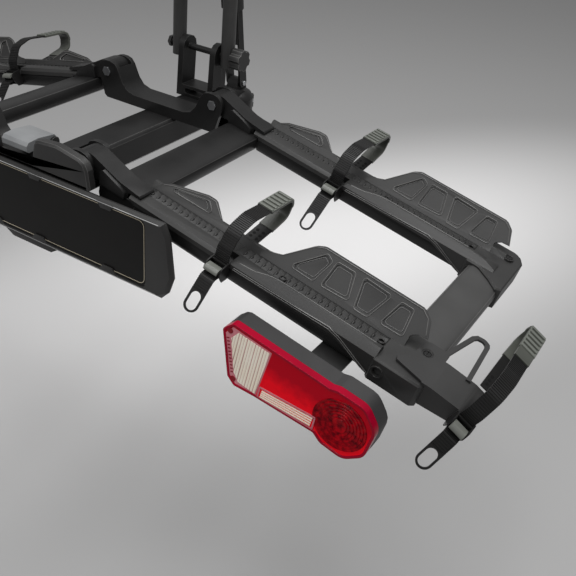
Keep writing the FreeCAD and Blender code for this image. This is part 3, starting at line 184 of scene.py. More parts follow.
def grained(
    name, low, high, rough, bump,
    grain=GRAIN_PER_METRE, cloud=CLOUD_PER_METRE, metallic=0.0, specular=0.5,
):
    """Plastic, paint, rubber or steel with a grain and soft clouding."""
    material, tree, shader = plain_material(name)
    pattern = add_node(
        tree, "Group", {"Grain per metre": grain, "Cloud per metre": cloud}, node_tree=GRAIN
    )
    relief = add_node(tree, "Bump", {"Strength": bump, "Distance": GRAIN_HEIGHT})
    clouds = pattern.outputs["Cloud"]
    link(tree, pattern.outputs["Height"], relief.inputs["Height"])
    link(tree, relief.outputs["Normal"], shader.inputs["Normal"])
    link(tree, between(tree, clouds, low, high), shader.inputs["Base Color"])
    link(tree, spread(tree, clouds, *rough), shader.inputs["Roughness"])
    shader.inputs["Metallic"].default_value = metallic
    shader.inputs["Specular IOR Level"].default_value = specular
    return material


def lens_field_painted_light(name, dark, bright, top, bottom):
    """Deep red lens, painted darker towards its top as shade and lighter towards its lower edge as
    a glow, with faint streaks.
    """
    material, tree, shader = plain_material(name)
    place = add_node(tree, "TexCoord")
    parts = add_node(tree, "SeparateXYZ")
    link(tree, place.outputs["Object"], parts.inputs["Vector"])
    outward = add_node(tree, "Math", operation="ABSOLUTE")
    link(tree, parts.outputs["X"], outward.inputs[0])
    folded = add_node(tree, "CombineXYZ")
    link(tree, outward.outputs["Value"], folded.inputs["X"])
    link(tree, parts.outputs["Z"], folded.inputs["Z"])
    up = (math.sin(WING_DROOP), 0, math.cos(WING_DROOP))
    height = add_node(tree, "VectorMath", operation="DOT_PRODUCT")
    height.inputs[1].default_value = up
    link(tree, folded.outputs["Vector"], height.inputs[0])
    level = WING_PLACE.x * up[0] + WING_PLACE.z * up[2]
    share = add_node(tree, "MapRange", {"From Min": level + top, "From Max": level + bottom})
    link(tree, height.outputs["Value"], share.inputs["Value"])
    streaks = add_node(tree, "TexNoise", {"Scale": STREAKS_PER_METRE})
    link(tree, place.outputs["Object"], streaks.inputs["Vector"])
    mixed = add_node(tree, "Math", operation="MULTIPLY")
    link(tree, share.outputs["Result"], mixed.inputs[0])
    link(tree, spread(tree, streaks.outputs["Fac"], *STREAK_SPAN), mixed.inputs[1])
    link(tree, between(tree, mixed.outputs["Value"], dark, bright), shader.inputs["Base Color"])
    shader.inputs["Roughness"].default_value = FIELD_ROUGH
    shader.inputs["Specular IOR Level"].default_value = FIELD_SPECULAR
    return material


# Finishes, each as its dark and light cloud colour, its roughness and its grain's strength

MATERIALS = {
    "black_metal": grained(
        "Satin black paint", (0.0075, 0.0075, 0.0075), (0.013, 0.0127, 0.0127),
        (0.34, 0.46), 0.12, specular=0.28,
    ),
    "tube_grey": grained(
        "Dark grey tube paint", (0.035, 0.0345, 0.034), (0.046, 0.0455, 0.045),
        (0.34, 0.46), 0.1,
    ),
    "tray_plastic": grained(
        "Charcoal tray plastic", (0.0155, 0.0152, 0.0149), (0.024, 0.0236, 0.0231),
        (0.40, 0.54), 0.3, specular=0.42,
    ),
    "cover_plastic": grained(
        "Dark cover plastic", (0.013, 0.0125, 0.0125), (0.02, 0.0195, 0.019),
        (0.36, 0.5), 0.2,
    ),
    "plate_black": grained(
        "Plate black", (0.0050, 0.0046, 0.0043), (0.0072, 0.0068, 0.0064),
        (0.30, 0.40), 0.05, specular=0.16,
    ),
    "strap_black": grained(
        "Strap plastic", (0.0075, 0.0073, 0.0072), (0.0125, 0.0122, 0.012),
        (0.34, 0.48), 0.2, specular=0.25,
    ),
    "pad_grey": grained(
        "Grey strap rubber", (0.096, 0.102, 0.089), (0.142, 0.150, 0.133),
        (0.24, 0.36), 0.3,
    ),
    "lever_grey": grained(
        "Pale grey lever", (0.100, 0.104, 0.093), (0.142, 0.147, 0.133),
        (0.28, 0.40), 0.15,
    ),
    "pedal_grey": grained(
        "Grey pedal", (0.16, 0.165, 0.17), (0.22, 0.225, 0.23),
        (0.42, 0.55), 0.2,
    ),
    "zinc": grained(
        "Zinc plate", (0.42, 0.43, 0.45), (0.55, 0.56, 0.57),
        (0.25, 0.42), 0.15, metallic=1.0,
    ),
    "grip_rubber": grained(
        "Grip rubber", (0.01, 0.01, 0.01), (0.017, 0.017, 0.017),
        (0.62, 0.8), 0.5,
    ),
    "housing_grey": grained(
        "Lamp body plastic", (0.024, 0.0232, 0.0236), (0.032, 0.031, 0.0315),
        (0.5, 0.62), 0.2, specular=0.35,
    ),
    "lens_red": grained(
        "Red lens rim", (0.24, 0.0008, 0.014), (0.36, 0.0014, 0.022),
        (0.16, 0.24), 0.02, specular=0.1,
    ),
    "lens_clear": grained(
        "Cream lens", (0.90, 0.78, 0.62), (0.96, 0.90, 0.78),
        (0.12, 0.2), 0.02,
    ),
    "bulb_metal": grained(
        "Bright bulb cap", (0.6, 0.6, 0.58), (0.75, 0.75, 0.73),
        (0.15, 0.25), 0.05, metallic=1.0,
    ),
}

# Lens field with painted shade towards its top and a painted glow towards its lower edge
FIELD_RED_PAINTED_LIGHT = lens_field_painted_light(
    "Red lens field", (0.46, 0.0006, 0.011), (0.92, 0.002, 0.013), -0.012, -0.088
)
PRISM_RED = grained(
    "Prism red", (0.10, 0.0004, 0.004), (0.44, 0.002, 0.008),
    (0.1, 0.3), 0.9, grain=260.0, cloud=150.0, specular=0.06,
)
REFLECTOR_PINK = grained(
    "Reflector pink", (0.48, 0.10, 0.14), (0.66, 0.24, 0.27), (0.15, 0.3), 0.1
)
# Darker pink in the window's grooves: painted shade
GROOVE_PAINTED_SHADE = grained(
    "Window groove pink", (0.56, 0.36, 0.30), (0.68, 0.47, 0.40), (0.15, 0.3), 0.1
)
SCREW_RED = grained(
    "Sunk screw red", (0.16, 0.002, 0.008), (0.26, 0.004, 0.012), (0.3, 0.45), 0.1, specular=0.2
)
PALE_GOLD = grained(
    "Pale gold line", (0.46, 0.40, 0.29), (0.62, 0.55, 0.42), (0.3, 0.45), 0.05
)
# Pale lines on the holder's crests: painted highlights
HOLDER_CREST_HIGHLIGHT = grained(
    "Worn holder crest", (0.3, 0.3, 0.3), (0.44, 0.44, 0.44), (0.3, 0.45), 0.1
)
# Darker grey of the smooth sleeves; on the pad's base between its ribs it is painted shade
SLEEVE_GREY_AND_PAINTED_SHADE = grained(
    "Smooth strap sleeve", (0.046, 0.049, 0.041), (0.070, 0.073, 0.063), (0.34, 0.48), 0.15
)
# Near-black discs in the strap's holes: painted shade
EYELET_SHADE_BLACK = grained(
    "Shaded recess", (0.003, 0.003, 0.003), (0.005, 0.005, 0.005),
    (0.6, 0.75), 0.1, specular=0.2,
)
CRADLE_GREY = grained(
    "Dull cradle paint", (0.017, 0.0167, 0.0165), (0.025, 0.0246, 0.0243),
    (0.44, 0.58), 0.25, specular=0.4,
)

# Paler colour of a slot's softened edges, painted highlights where the edges catch the light
PAINTED_EDGE_HIGHLIGHT = {
    "tray_plastic": grained(
        "Rubbed tray edge", (0.06, 0.059, 0.058), (0.125, 0.122, 0.119), (0.2, 0.3), 0.1
    ),
    "black_metal": grained(
        "Rubbed black edge", (0.025, 0.0245, 0.024), (0.05, 0.049, 0.048), (0.28, 0.4), 0.1
    ),
    "plate_black": grained(
        "Rubbed holder edge", (0.06, 0.059, 0.057), (0.13, 0.127, 0.122), (0.26, 0.38), 0.1
    ),
    "cover_plastic": grained(
        "Rubbed cover edge", (0.05, 0.049, 0.048), (0.11, 0.108, 0.105), (0.26, 0.38), 0.1
    ),
    "tube_grey": grained(
        "Rubbed tube edge", (0.07, 0.069, 0.067), (0.12, 0.118, 0.115), (0.3, 0.42), 0.1
    ),
}


# Pieces

# Angles, in degrees, from which an edge is sharp
SHARP = 35
SHARP_COPY = 42
SHARP_LENS = 40
SHARP_ROUND = 60
SHARP_BEAD = 80

FLAT_ANGLE = math.radians(0.8)
EDGE_SEGMENTS = 2
SOFT_EDGE = 0.0006
PAD_EDGE = 0.0007
LENS_EDGE = 0.0005
SMALL_EDGE = 0.0004
BAR_EDGE = 0.0002


def add_object(name, data):
    """Object with that data, in the scene."""
    made = bpy.data.objects.new(name, data)
    bpy.context.scene.collection.objects.link(made)
    return made


def make_piece(name, bm, body, slot, replaces=(), edge=0.0, sharp=SHARP, looks=()):
    """Piece from a bmesh that is already in its place in the part's frame.

    Its looks, where given, take the place of its slot's own material.
    """
    mesh = bpy.data.meshes.new(name)
    bm.to_mesh(mesh)
    bm.free()
    for face in mesh.polygons:
        face.use_smooth = True
    mesh.set_sharp_from_angle(angle=math.radians(sharp))
    for look in looks or (MATERIALS[slot],):
        mesh.materials.append(look)
    piece = add_object(name, mesh)
    if edge:
        bevel = piece.modifiers.new("Soft edges", "BEVEL")
        # The bevel's faces take the paler colour, a painted highlight along the softened edges
        if slot in PAINTED_EDGE_HIGHLIGHT:
            mesh.materials.append(PAINTED_EDGE_HIGHLIGHT[slot])
            bevel.material = 1
        bevel.width = edge
        bevel.segments = EDGE_SEGMENTS
        bevel.limit_method = "ANGLE"
        bevel.angle_limit = math.radians(sharp)
        bevel.harden_normals = True
    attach(piece, body)
    if replaces:
        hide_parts(*replaces)


def softened_copy(node):
    """The node's own shape with its facets merged and its edges softened."""
    bm = bmesh.new()
    bm.from_mesh(frame["nodes"][node].data)
    bmesh.ops.remove_doubles(bm, verts=bm.verts, dist=SAME_PLACE)
    bmesh.ops.dissolve_limit(bm, angle_limit=FLAT_ANGLE, verts=bm.verts, edges=bm.edges)
    looks = (CRADLE_GREY,) if node.endswith("extension_cradle") else ()
    make_piece(
        node + "_soft", bm, NODE_BODY[node], NODE_SLOT[node], [node], SOFT_EDGE, SHARP_COPY, looks
    )


# Shape helpers

def put(bm, place):
    """Moves a shape to its place and keeps its faces outward."""
    bmesh.ops.transform(bm, matrix=place, verts=bm.verts)
    if place.determinant() < 0:
        bmesh.ops.reverse_faces(bm, faces=bm.faces)
    return bm


def gathered(shapes):
    """One bmesh from several."""
    whole = bmesh.new()
    for shape in shapes:
        mesh = bpy.data.meshes.new("gathered")
        shape.to_mesh(mesh)
        shape.free()
        whole.from_mesh(mesh)
        bpy.data.meshes.remove(mesh)
    return whole


def as_second(bm):
    """The shape in its piece's second material."""
    for face in bm.faces:
        face.material_index = 1
    return bm


def new_verts(made):
    """The vertices that an extrusion made."""
    return [item for item in made["geom"] if isinstance(item, bmesh.types.BMVert)]


def thickened(bm, faces, way):
    """The shape with its flat faces drawn out along a way."""
    made = bmesh.ops.extrude_face_region(bm, geom=faces)
    bmesh.ops.translate(bm, verts=new_verts(made), vec=way)
    bmesh.ops.recalc_face_normals(bm, faces=bm.faces)
    return bm


def disc(radius, depth, segments):
    """Round disc about Z."""
    bm = bmesh.new()
    bmesh.ops.create_cone(
        bm, cap_ends=True, segments=segments, radius1=radius, radius2=radius, depth=depth
    )
    return bm


def mm(corners):
    """Corners from millimetres."""
    return [tuple(value * 0.001 for value in corner) for corner in corners]


def rounding(before, corner, after, radius):
    """Where the arc that rounds a corner starts and ends, its middle and its turn."""
    inward = (before - corner).normalized()
    outward = (after - corner).normalized()
    half = inward.angle(outward) / 2
    first = corner + inward * (radius / math.tan(half))
    last = corner + outward * (radius / math.tan(half))
    middle = corner + (inward + outward).normalized() * (radius / math.sin(half))
    return first, last, middle, (first - middle).angle_signed(last - middle)


def on_arc(first, middle, turn, part, count):
    """Point after that part of an arc's count of steps."""
    return middle + Matrix.Rotation(-turn * part / count, 2) @ (first - middle)


# Wheel straps, drawn at a tray's section with the strap's width along X

STRAP_X = -0.0905
STRAP_WIDTH = 0.023
STRAP_HALF = 0.0012
STRAP_LAP = 0.001
STRAP_FOOT = (0.028, 0.011)
TAIL_TIP = (-0.098, -0.050)
FRONT_TAIL_TIP = (-0.112, -0.052)
MID_REACH = 0.112
OUTER_REACH = 0.148
OUTER_X = 0.297
OUTER_LEAN = math.radians(18)
RAIL_TOP = 0.008

# Corners of a strap's line as (Y, Z, radius): round the rail, and from its reach back
RAIL_FACE = -0.036 - 0.0045
RAIL_CORNERS = [
    (-0.067, -0.005, 0.009),
    (RAIL_FACE, -0.003, 0.005),
    (RAIL_FACE, 0.030, 0.016),
    (-0.024, 0.056, 0.022),
    (0.006, 0.065, 0.040),
]
PAD_START = (-0.066, 0.0615)
PAD_TIP = (-0.001, 0.043)
PAD_END = (-0.044, 0.017)
REACH_CORNERS = [
    PAD_START + (0,),
    (0, 0.059, 0.014),
    (-0.006, 0.026, 0.014),
    PAD_END + (0,),
]
LINE_STEP = 0.0004
SIDE_STEP = 0.0012

RUNG_PITCH = 0.0034
RUNG_SHARE = 0.42
RUNG_DEPTH = 0.0009
RUNG_STEP = RUNG_PITCH / 8
RING_LENGTH = 0.034
RING_RIM = 0.0031
RING_SEGMENTS = 48

PAD_WIDTH = 0.0264
PAD_UNDER = -0.0024
PAD_TOP = 0.0016
PAD_ROOT = 0.001
PAD_WALL = 0.0026
PAD_WALL_TOP = 0.0024
PAD_STEP = 0.002
PAD_RIB_PITCH = 0.0100
PAD_RIB = 0.0052
PAD_RIB_WIDTH = PAD_WIDTH - 0.0024
PAD_RIB_TOP = 0.0040
PAD_RIB_STEP = 0.0012
SLEEVE_WIDTH = STRAP_WIDTH + 0.0016
SLEEVE_HALF = 0.0024
FORE_SLEEVE = 0.024

# An eyelet's size is its radius, depth and segments
EYELET_ROWS = 3
EYELET_PITCH = 0.0085
EYELET_SIDES = (-0.0052, 0.0052)
EYELET_FROM_END = 0.010
EYELET_SIZE = (0.0026, 0.003, 16)


def strap_corners(reach, tail):
    """Corners of a strap's centre line as (Y, Z, radius), from its tail to its foot."""
    far = [(reach + y, z, radius) for y, z, radius in REACH_CORNERS]
    return [tail + (0,)] + RAIL_CORNERS + far + [STRAP_FOOT + (0,)]


def rounded_line(corners):
    """Evenly walked points of a line whose corners are tangent arcs."""
    points = []

    def straight(first, last):
        count = max(1, int((last - first).length / LINE_STEP))
        points.extend(first.lerp(last, index / count) for index in range(count))

    here = Vector(corners[0][:2])
    for (y, z, radius), after in zip(corners[1:-1], corners[2:]):
        corner = Vector((y, z))
        if radius == 0:
            straight(here, corner)
            here = corner
            continue
        first, last, middle, turn = rounding(here, corner, Vector(after[:2]), radius)
        straight(here, first)
        count = max(2, int(abs(turn) * radius / LINE_STEP))
        points += [on_arc(first, middle, turn, part, count) for part in range(count)]
        here = last
    end = Vector(corners[-1][:2])
    straight(here, end)
    points.append(end)
    return points


class Route:
    """A walked line that gives the place and outward side at a distance."""

    def __init__(self, corners):
        self.points = rounded_line(corners)
        self.marks = [0.0]
        for before, point in zip(self.points, self.points[1:]):
            self.marks.append(self.marks[-1] + (point - before).length)
        self.length = self.marks[-1]

    def place(self, distance):
        """Point of the line after that distance."""
        distance = min(max(distance, 0.0), self.length)
        low, high = 0, len(self.marks) - 1
        while high - low > 1:
            middle = (low + high) // 2
            if self.marks[middle] <= distance:
                low = middle
            else:
                high = middle
        span = self.marks[high] - self.marks[low]
        share = (distance - self.marks[low]) / span if span else 0
        return self.points[low].lerp(self.points[high], share)

    def outward(self, distance):
        """Way off the line, on the outer side of its loop."""
        run = self.place(distance + SIDE_STEP) - self.place(distance - SIDE_STEP)
        run.normalize()
        return Vector((-run.y, run.x))

    def nearest(self, y, z):
        """Distance at which the line comes nearest to a point."""
        aim = Vector((y, z))
        best = min(range(len(self.points)), key=lambda i: (self.points[i] - aim).length)
        return self.marks[best]


class Strap:
    """A wheel strap: its place on a wing, its own line, and its loop's line with marks."""

    def __init__(self, place, reach, tail=TAIL_TIP):
        self.place = place
        self.reach = reach
        self.line = Route(strap_corners(reach, tail))
        self.loop = Route(strap_corners(reach, TAIL_TIP))
        self.start, self.tip, self.end = (
            self.loop.nearest(reach + y, z) for y, z in (PAD_START, PAD_TIP, PAD_END)
        )


def swept(count, place, closed=False):
    """Square bar of count lengths whose corners go to place(share, side, up)."""
    bm = bmesh.new()
    bmesh.ops.create_cube(bm, size=1.0)
    long_edges = [e for e in bm.edges if abs(e.verts[0].co.x - e.verts[1].co.x) > 0.5]
    bmesh.ops.subdivide_edges(bm, edges=long_edges, cuts=count - 1, use_grid_fill=True)
    if closed:
        ends = [f for f in bm.faces if all(abs(v.co.x) > 0.5 - SAME_PLACE for v in f.verts)]
        bmesh.ops.delete(bm, geom=ends, context="FACES_ONLY")
    for vert in bm.verts:
        vert.co = place(vert.co.x + 0.5, vert.co.y, vert.co.z)
    if closed:
        bmesh.ops.remove_doubles(bm, verts=bm.verts, dist=SAME_END)
    bmesh.ops.recalc_face_normals(bm, faces=bm.faces)
    return bm


def band(route, start, end, width, low, high, step, relief=None, across=0.0):
    """Flat band along the route, with its relief on the outward side."""

    def place(share, side, up):
        distance = start + (end - start) * share
        offset = high + (relief(distance) if relief else 0) if up > 0 else low
        spot = route.place(distance) + route.outward(distance) * offset
        return Vector((across + side * width, spot.x, spot.y))

    return swept(int((end - start) / step) + 1, place)


def rungs(distance):
    """Cross grooves of the ratchet strap."""
    return -RUNG_DEPTH if (distance % RUNG_PITCH) < RUNG_PITCH * RUNG_SHARE else 0.0


def tail_ring(route, length):
    """Flat end of the tail with a rounded slot to pull on."""
    half = STRAP_WIDTH / 2
    hole = half - RING_RIM
    side = route.outward(length / 2)
    lift = Vector((0, side.x, side.y))
    bm = bmesh.new()
    for wide, far in ((half, length), (hole, length - RING_RIM - hole)):
        ring = bmesh.ops.create_circle(bm, segments=RING_SEGMENTS, radius=1.0)
        for vert in ring["verts"]:
            across, ahead = vert.co.x, vert.co.y
            if ahead <= 0:
                along = half + ahead * wide
            elif wide == half:
                stretch = max(abs(across), ahead)
                across, along = across / stretch, half + ahead / stretch * (far - half)
            else:
                along = far + ahead * wide
            spot = route.place(along)
            vert.co = Vector((across * wide, spot.x, spot.y)) - lift * STRAP_HALF
    flat = bmesh.ops.bridge_loops(bm, edges=list(bm.edges))
    return thickened(bm, flat["faces"], lift * 2 * STRAP_HALF)


def strap_shape(strap):
    """Ribbed strap with its slotted tail end."""
    line = strap.line
    ribbed = band(
        line, RING_LENGTH - STRAP_LAP, line.length,
        STRAP_WIDTH, -STRAP_HALF, STRAP_HALF, RUNG_STEP, rungs,
    )
    return gathered([ribbed, tail_ring(line, RING_LENGTH)])


def pad_shape(strap):
    """Ribbed rubber pad between two walls, on a base in the second material, the darker sleeve grey
    that paints the shade between the ribs.
    """
    loop, start, tip = strap.loop, strap.start, strap.tip
    shapes = [as_second(band(loop, start, tip, PAD_WIDTH, PAD_UNDER, PAD_TOP, PAD_STEP))]
    for side in (-1, 1):
        across = side * (PAD_WIDTH - PAD_WALL) / 2
        shapes.append(
            band(loop, start, tip, PAD_WALL, PAD_ROOT, PAD_WALL_TOP, PAD_STEP, across=across)
        )
    for index in range(int((tip - start) / PAD_RIB_PITCH) + 1):
        mark = start + index * PAD_RIB_PITCH
        shapes.append(
            band(loop, mark, mark + PAD_RIB, PAD_RIB_WIDTH, PAD_ROOT, PAD_RIB_TOP, PAD_RIB_STEP)
        )
    return gathered(shapes)


def sleeve_shape(strap):
    """Smooth sleeve on the strap's way back from the pad, on the long strap also before it."""
    runs = [(strap.tip - STRAP_LAP, strap.end)]
    if strap.reach == OUTER_REACH:
        runs.append((strap.start - FORE_SLEEVE, strap.start + STRAP_LAP))
    return gathered([
        band(strap.loop, low, high, SLEEVE_WIDTH, -SLEEVE_HALF, SLEEVE_HALF, PAD_STEP)
        for low, high in runs
    ])


def foot_eyelet_shade(strap):
    """Dark discs in the strap's foot, painted shade in its eyelet holes."""
    shapes = []
    for row in range(EYELET_ROWS):
        mark = strap.loop.length - EYELET_FROM_END - EYELET_PITCH * row
        spot = strap.loop.place(mark)
        side = strap.loop.outward(mark)
        turn = Vector((0, 0, 1)).rotation_difference(Vector((0, side.x, side.y)))
        for across in EYELET_SIDES:
            place = Matrix.Translation((across, spot.x, spot.y)) @ turn.to_matrix().to_4x4()
            shapes.append(put(disc(*EYELET_SIZE), place))
    return gathered(shapes)


def wing_straps(side):
    """A wing's straps: one on each tray and the long one at the end of one tray."""
    outer_y = 0.0 if side == "right" else TRAY_PITCH
    lean = (
        Matrix.Translation((OUTER_X, outer_y, RAIL_TOP))
        @ Matrix.Rotation(OUTER_LEAN, 4, "Y")
        @ Matrix.Translation((0, 0, -RAIL_TOP))
    )
    return [
        Strap(Matrix.Translation((STRAP_X, 0, 0)), MID_REACH),
        Strap(Matrix.Translation((STRAP_X, TRAY_PITCH, 0)), MID_REACH, FRONT_TAIL_TIP),
        Strap(lean, OUTER_REACH),
    ]


def make_straps(side):
    """Bands, pads, sleeves and the eyelets' painted shade of a wing's straps, each as one piece."""
    straps = wing_straps(side)
    rubber = MATERIALS["pad_grey"]
    for name, maker, slot, replaced, edge, sharp, looks in (
        ("_ribbed_straps", strap_shape, "strap_black", ["_wheel_straps"], 0.0, SHARP, ()),
        ("_ribbed_pads", pad_shape, "pad_grey", ["_strap_pads"], PAD_EDGE, SHARP,
         (rubber, SLEEVE_GREY_AND_PAINTED_SHADE)),
        ("_pad_sleeves", sleeve_shape, "pad_grey", [], SMALL_EDGE, SHARP, (SLEEVE_GREY_AND_PAINTED_SHADE,)),
        ("_strap_eyelets", foot_eyelet_shade, "strap_black", [], 0.0, SHARP_ROUND, (EYELET_SHADE_BLACK,)),
    ):
        shape = gathered([put(maker(strap), WINGS[side] @ strap.place) for strap in straps])
        nodes = [side + node for node in replaced]
        make_piece(side + name, shape, side + "_wing", slot, nodes, edge, sharp, looks)


# Shapes drawn flat in a wing's X and Z, or in the plate's

ARC_SEGMENTS = 6


def outline_points(corners, segments=ARC_SEGMENTS):
    """Points of a closed outline given as (u, v, radius) corners."""
    points = []
    for index, corner in enumerate(corners):
        here = Vector(corner[:2])
        radius = corner[2] if len(corner) > 2 else 0
        if radius == 0:
            points.append(here)
            continue
        before = Vector(corners[index - 1][:2])
        after = Vector(corners[(index + 1) % len(corners)][:2])
        first, last, middle, turn = rounding(before, here, after, radius)
        points += [
            on_arc(first, middle, turn, part, segments) for part in range(segments + 1)
        ]
    return points


def upright_face(bm, corners, y):
    """Face in a plane of constant Y from a rounded outline in X and Z."""
    face = bm.faces.new([bm.verts.new((p.x, y, p.y)) for p in outline_points(corners)])
    face.normal_update()
    return face


def slab(corners, front, back):
    """Plate with a rounded outline between two levels of Y."""
    bm = bmesh.new()
    return thickened(bm, [upright_face(bm, corners, front)], (0, back - front, 0))


def flat_frame(corners, width, front, back):
    """Closed flat frame of that width inside a rounded outline."""
    bm = bmesh.new()
    panel = upright_face(bm, corners, front)
    bmesh.ops.inset_region(
        bm, faces=[panel], thickness=width, use_even_offset=True, use_boundary=True
    )
    bmesh.ops.delete(bm, geom=[panel], context="FACES_ONLY")
    return thickened(bm, bm.faces[:], (0, back - front, 0))


def front_face(bm, level):
    """The face that lies at that level of Y."""
    return max(
        (f for f in bm.faces if all(abs(v.co.y - level) < SAME_PLACE for v in f.verts)),
        key=lambda f: f.calc_area(),
    )


# Rear lamp

LAMP_FACE = -0.110
LENS_BACK = -0.098
LENS_OUTLINE = mm([
    (-26, -26, 7),
    (-13, -9, 8),
    (140, -9, 6),
    (150, -5, 8),
    (192, -5, 22),
    (217, -30, 24),
    (216.6, -78, 24),
    (192, -103.6, 22),
    (156, -102, 16),
    (142, -93, 6),
    (48, -101, 10),
    (14, -106, 8),
    (1, -97, 8),
])
LENS_RIM = 0.0032
LENS_STEP = 0.0008
LENS_SINK = 0.0014
LENS_FIELD = LAMP_FACE + LENS_SINK
BEHIND_FIELD = LENS_FIELD + 0.001

WINDOW_CORNERS = mm([(-10, -33), (-2, -18), (49, -18), (47, -96), (19, -96), (8, -84)])
WINDOW_RIB = 0.0044
WINDOW_RIB_DEPTH = 0.0011
# Faces farther than this share off a rib's middle take the painted groove shade
WINDOW_GROOVE_SHARE = 0.78
WINDOW_LEAN = 0.04
WINDOW_MARGIN = 0.010
WINDOW_STRIPS = 104
WINDOW_BACK = LENS_FIELD + 0.0012

BORDER_CORNERS = mm([(-21, -32), (-12, -15), (51, -15.5), (49, -99.5), (15, -102), (2, -92)])
BORDER_FACE = LENS_FIELD - 0.0003
TICK_COUNT = 11
TICK_FIRST = (-0.0168, -0.036)
TICK_RUN = (0.0200, -0.050)
TICK_CORNERS = [(0, 0), (0, -0.0022), (0.0040, -0.0004), (0.0040, 0.0018)]
TICK_FACE = LAMP_FACE + 0.0008

ROUND_CENTRE = (0.170, -0.055)
ROUND_RADIUS = 0.040
ROUND_SEGMENTS = 56
ROUND_FACE = LENS_FIELD - 0.0001
ROUND_SKIRT = 0.001
PRISM_RINGS = 7
PRISM_FLANK = 0.0006
PRISM_LAND = 0.0042
PRISM_LIFT = 0.0010

REFLECTOR_CORNERS = mm([(50, -79, 2), (138, -67, 2), (140, -90, 2), (51, -99, 2)])
REFLECTOR_FRAME = 0.0024
REFLECTOR_FACE = LAMP_FACE + 0.0003

# A bar's two ends, each as its X, the first bar's upper Z, the pitch and the height
BAR_COUNT = 4
BAR_LEFT = (0.0555, -0.0833, 0.0035, 0.0020)
BAR_RIGHT = (0.1345, -0.0713, 0.0043, 0.0022)

# A screw's size is its radius, depth and segments
LAMP_SCREWS = mm([(-14.5, -23), (10, -96)])
SCREW_LEVEL = LAMP_FACE + 0.0013
SCREW_SIZE = (0.0042, 0.0024, 24)


def lens_shape():
    """Lens whose field, its second material, is sunk behind its rim."""
    bm = slab(LENS_OUTLINE, LAMP_FACE, LENS_BACK)
    face = front_face(bm, LAMP_FACE)
    bmesh.ops.inset_region(bm, faces=[face], thickness=LENS_RIM, use_even_offset=True)
    field = front_face(bm, LAMP_FACE)
    bmesh.ops.inset_region(bm, faces=[field], thickness=LENS_STEP, depth=-LENS_SINK)
    front_face(bm, LENS_FIELD).material_index = 1
    return bm


def window_shape():
    """Cream window of half-round ribs, cut to its outline, with its grooves in the second material,
    a darker pink that paints their shade.
    """
    low_x = min(x for x, z in WINDOW_CORNERS) - WINDOW_MARGIN
    high_x = max(x for x, z in WINDOW_CORNERS)
    low_z = min(z for x, z in WINDOW_CORNERS)
    high_z = max(z for x, z in WINDOW_CORNERS)

    def over_rib(spot):
        """X of a spot on the unit grid, and how far off its rib's middle it lies, 0 to 1."""
        x = low_x + (spot.x + 0.5) * (high_x - low_x)
        return x, 2 * (x % WINDOW_RIB) / WINDOW_RIB - 1

    bm = bmesh.new()
    bmesh.ops.create_grid(bm, x_segments=WINDOW_STRIPS, y_segments=1, size=0.5)
    for face in bm.faces:
        if abs(over_rib(face.calc_center_median())[1]) > WINDOW_GROOVE_SHARE:
            face.material_index = 1
    for vert in bm.verts:
        x, off = over_rib(vert.co)
        z = low_z + (vert.co.y + 0.5) * (high_z - low_z)
        depth = WINDOW_RIB_DEPTH * math.sqrt(max(0.0, 1 - off ** 2))
        vert.co = Vector((x - WINDOW_LEAN * (z - high_z), LENS_FIELD - depth, z))
    corners = [Vector((x, 0, z)) for x, z in WINDOW_CORNERS]
    centre = sum(corners, Vector()) / len(corners)
    for first, second in zip(corners, corners[1:] + corners[:1]):
        across = (second - first).cross(Vector((0, 1, 0)))
        if across.dot(centre - first) > 0:
            across.negate()
        geometry = bm.verts[:] + bm.edges[:] + bm.faces[:]
        bmesh.ops.bisect_plane(
            bm, geom=geometry, plane_co=first, plane_no=across, clear_outer=True
        )
    for vert in new_verts(bmesh.ops.extrude_face_region(bm, geom=bm.faces[:])):
        vert.co.y = WINDOW_BACK
    bmesh.ops.recalc_face_normals(bm, faces=bm.faces)
    return bm


def window_border():
    """Pink border round the window, with darker ticks, its second material, on its left."""
    shapes = [slab(BORDER_CORNERS, BORDER_FACE, BEHIND_FIELD)]
    for row in range(TICK_COUNT):
        share = row / (TICK_COUNT - 1)
        x, z = (first + run * share for first, run in zip(TICK_FIRST, TICK_RUN))
        corners = [(x + right, z + up) for right, up in TICK_CORNERS]
        shapes.append(as_second(slab(corners, TICK_FACE, BEHIND_FIELD)))
    return gathered(shapes)


def round_prisms():
    """Rings of the round lamp behind its lens."""
    bm = bmesh.new()
    bmesh.ops.create_circle(bm, cap_ends=True, segments=ROUND_SEGMENTS, radius=ROUND_RADIUS)
    place = Matrix.Translation((ROUND_CENTRE[0], ROUND_FACE, ROUND_CENTRE[1])) @ TO_FRONT
    put(bm, place).normal_update()
    face = bm.faces[:][0]
    for ring in range(PRISM_RINGS):
        for width, rise in ((PRISM_FLANK, -PRISM_LIFT), (PRISM_LAND, PRISM_LIFT)):
            bmesh.ops.inset_region(
                bm, faces=[face], thickness=width, depth=0, use_boundary=True
            )
            bmesh.ops.translate(bm, verts=list(face.verts), vec=(0, rise, 0))
    made = bmesh.ops.extrude_edge_only(bm, edges=[e for e in bm.edges if e.is_boundary])
    bmesh.ops.translate(bm, verts=new_verts(made), vec=(0, ROUND_SKIRT, 0))
    bmesh.ops.contextual_create(bm, geom=[e for e in bm.edges if e.is_boundary])
    bmesh.ops.recalc_face_normals(bm, faces=bm.faces)
    return bm


def reflector_bars():
    """Pink frame of the reflector strip with pale bars, its second material, inside it."""
    shapes = [flat_frame(REFLECTOR_CORNERS, REFLECTOR_FRAME, REFLECTOR_FACE, BEHIND_FIELD)]
    for row in range(BAR_COUNT):
        left, right = (
            [(x, top - pitch * row), (x, top - pitch * row - high)]
            for x, top, pitch, high in (BAR_LEFT, BAR_RIGHT)
        )
        shapes.append(as_second(slab(left + right[::-1], REFLECTOR_FACE, BEHIND_FIELD)))
    return gathered(shapes)


def lens_screws():
    """Screws sunk in the lens."""
    return gathered([
        put(disc(*SCREW_SIZE), Matrix.Translation((x, SCREW_LEVEL, z)) @ TO_FRONT)
        for x, z in LAMP_SCREWS
    ])


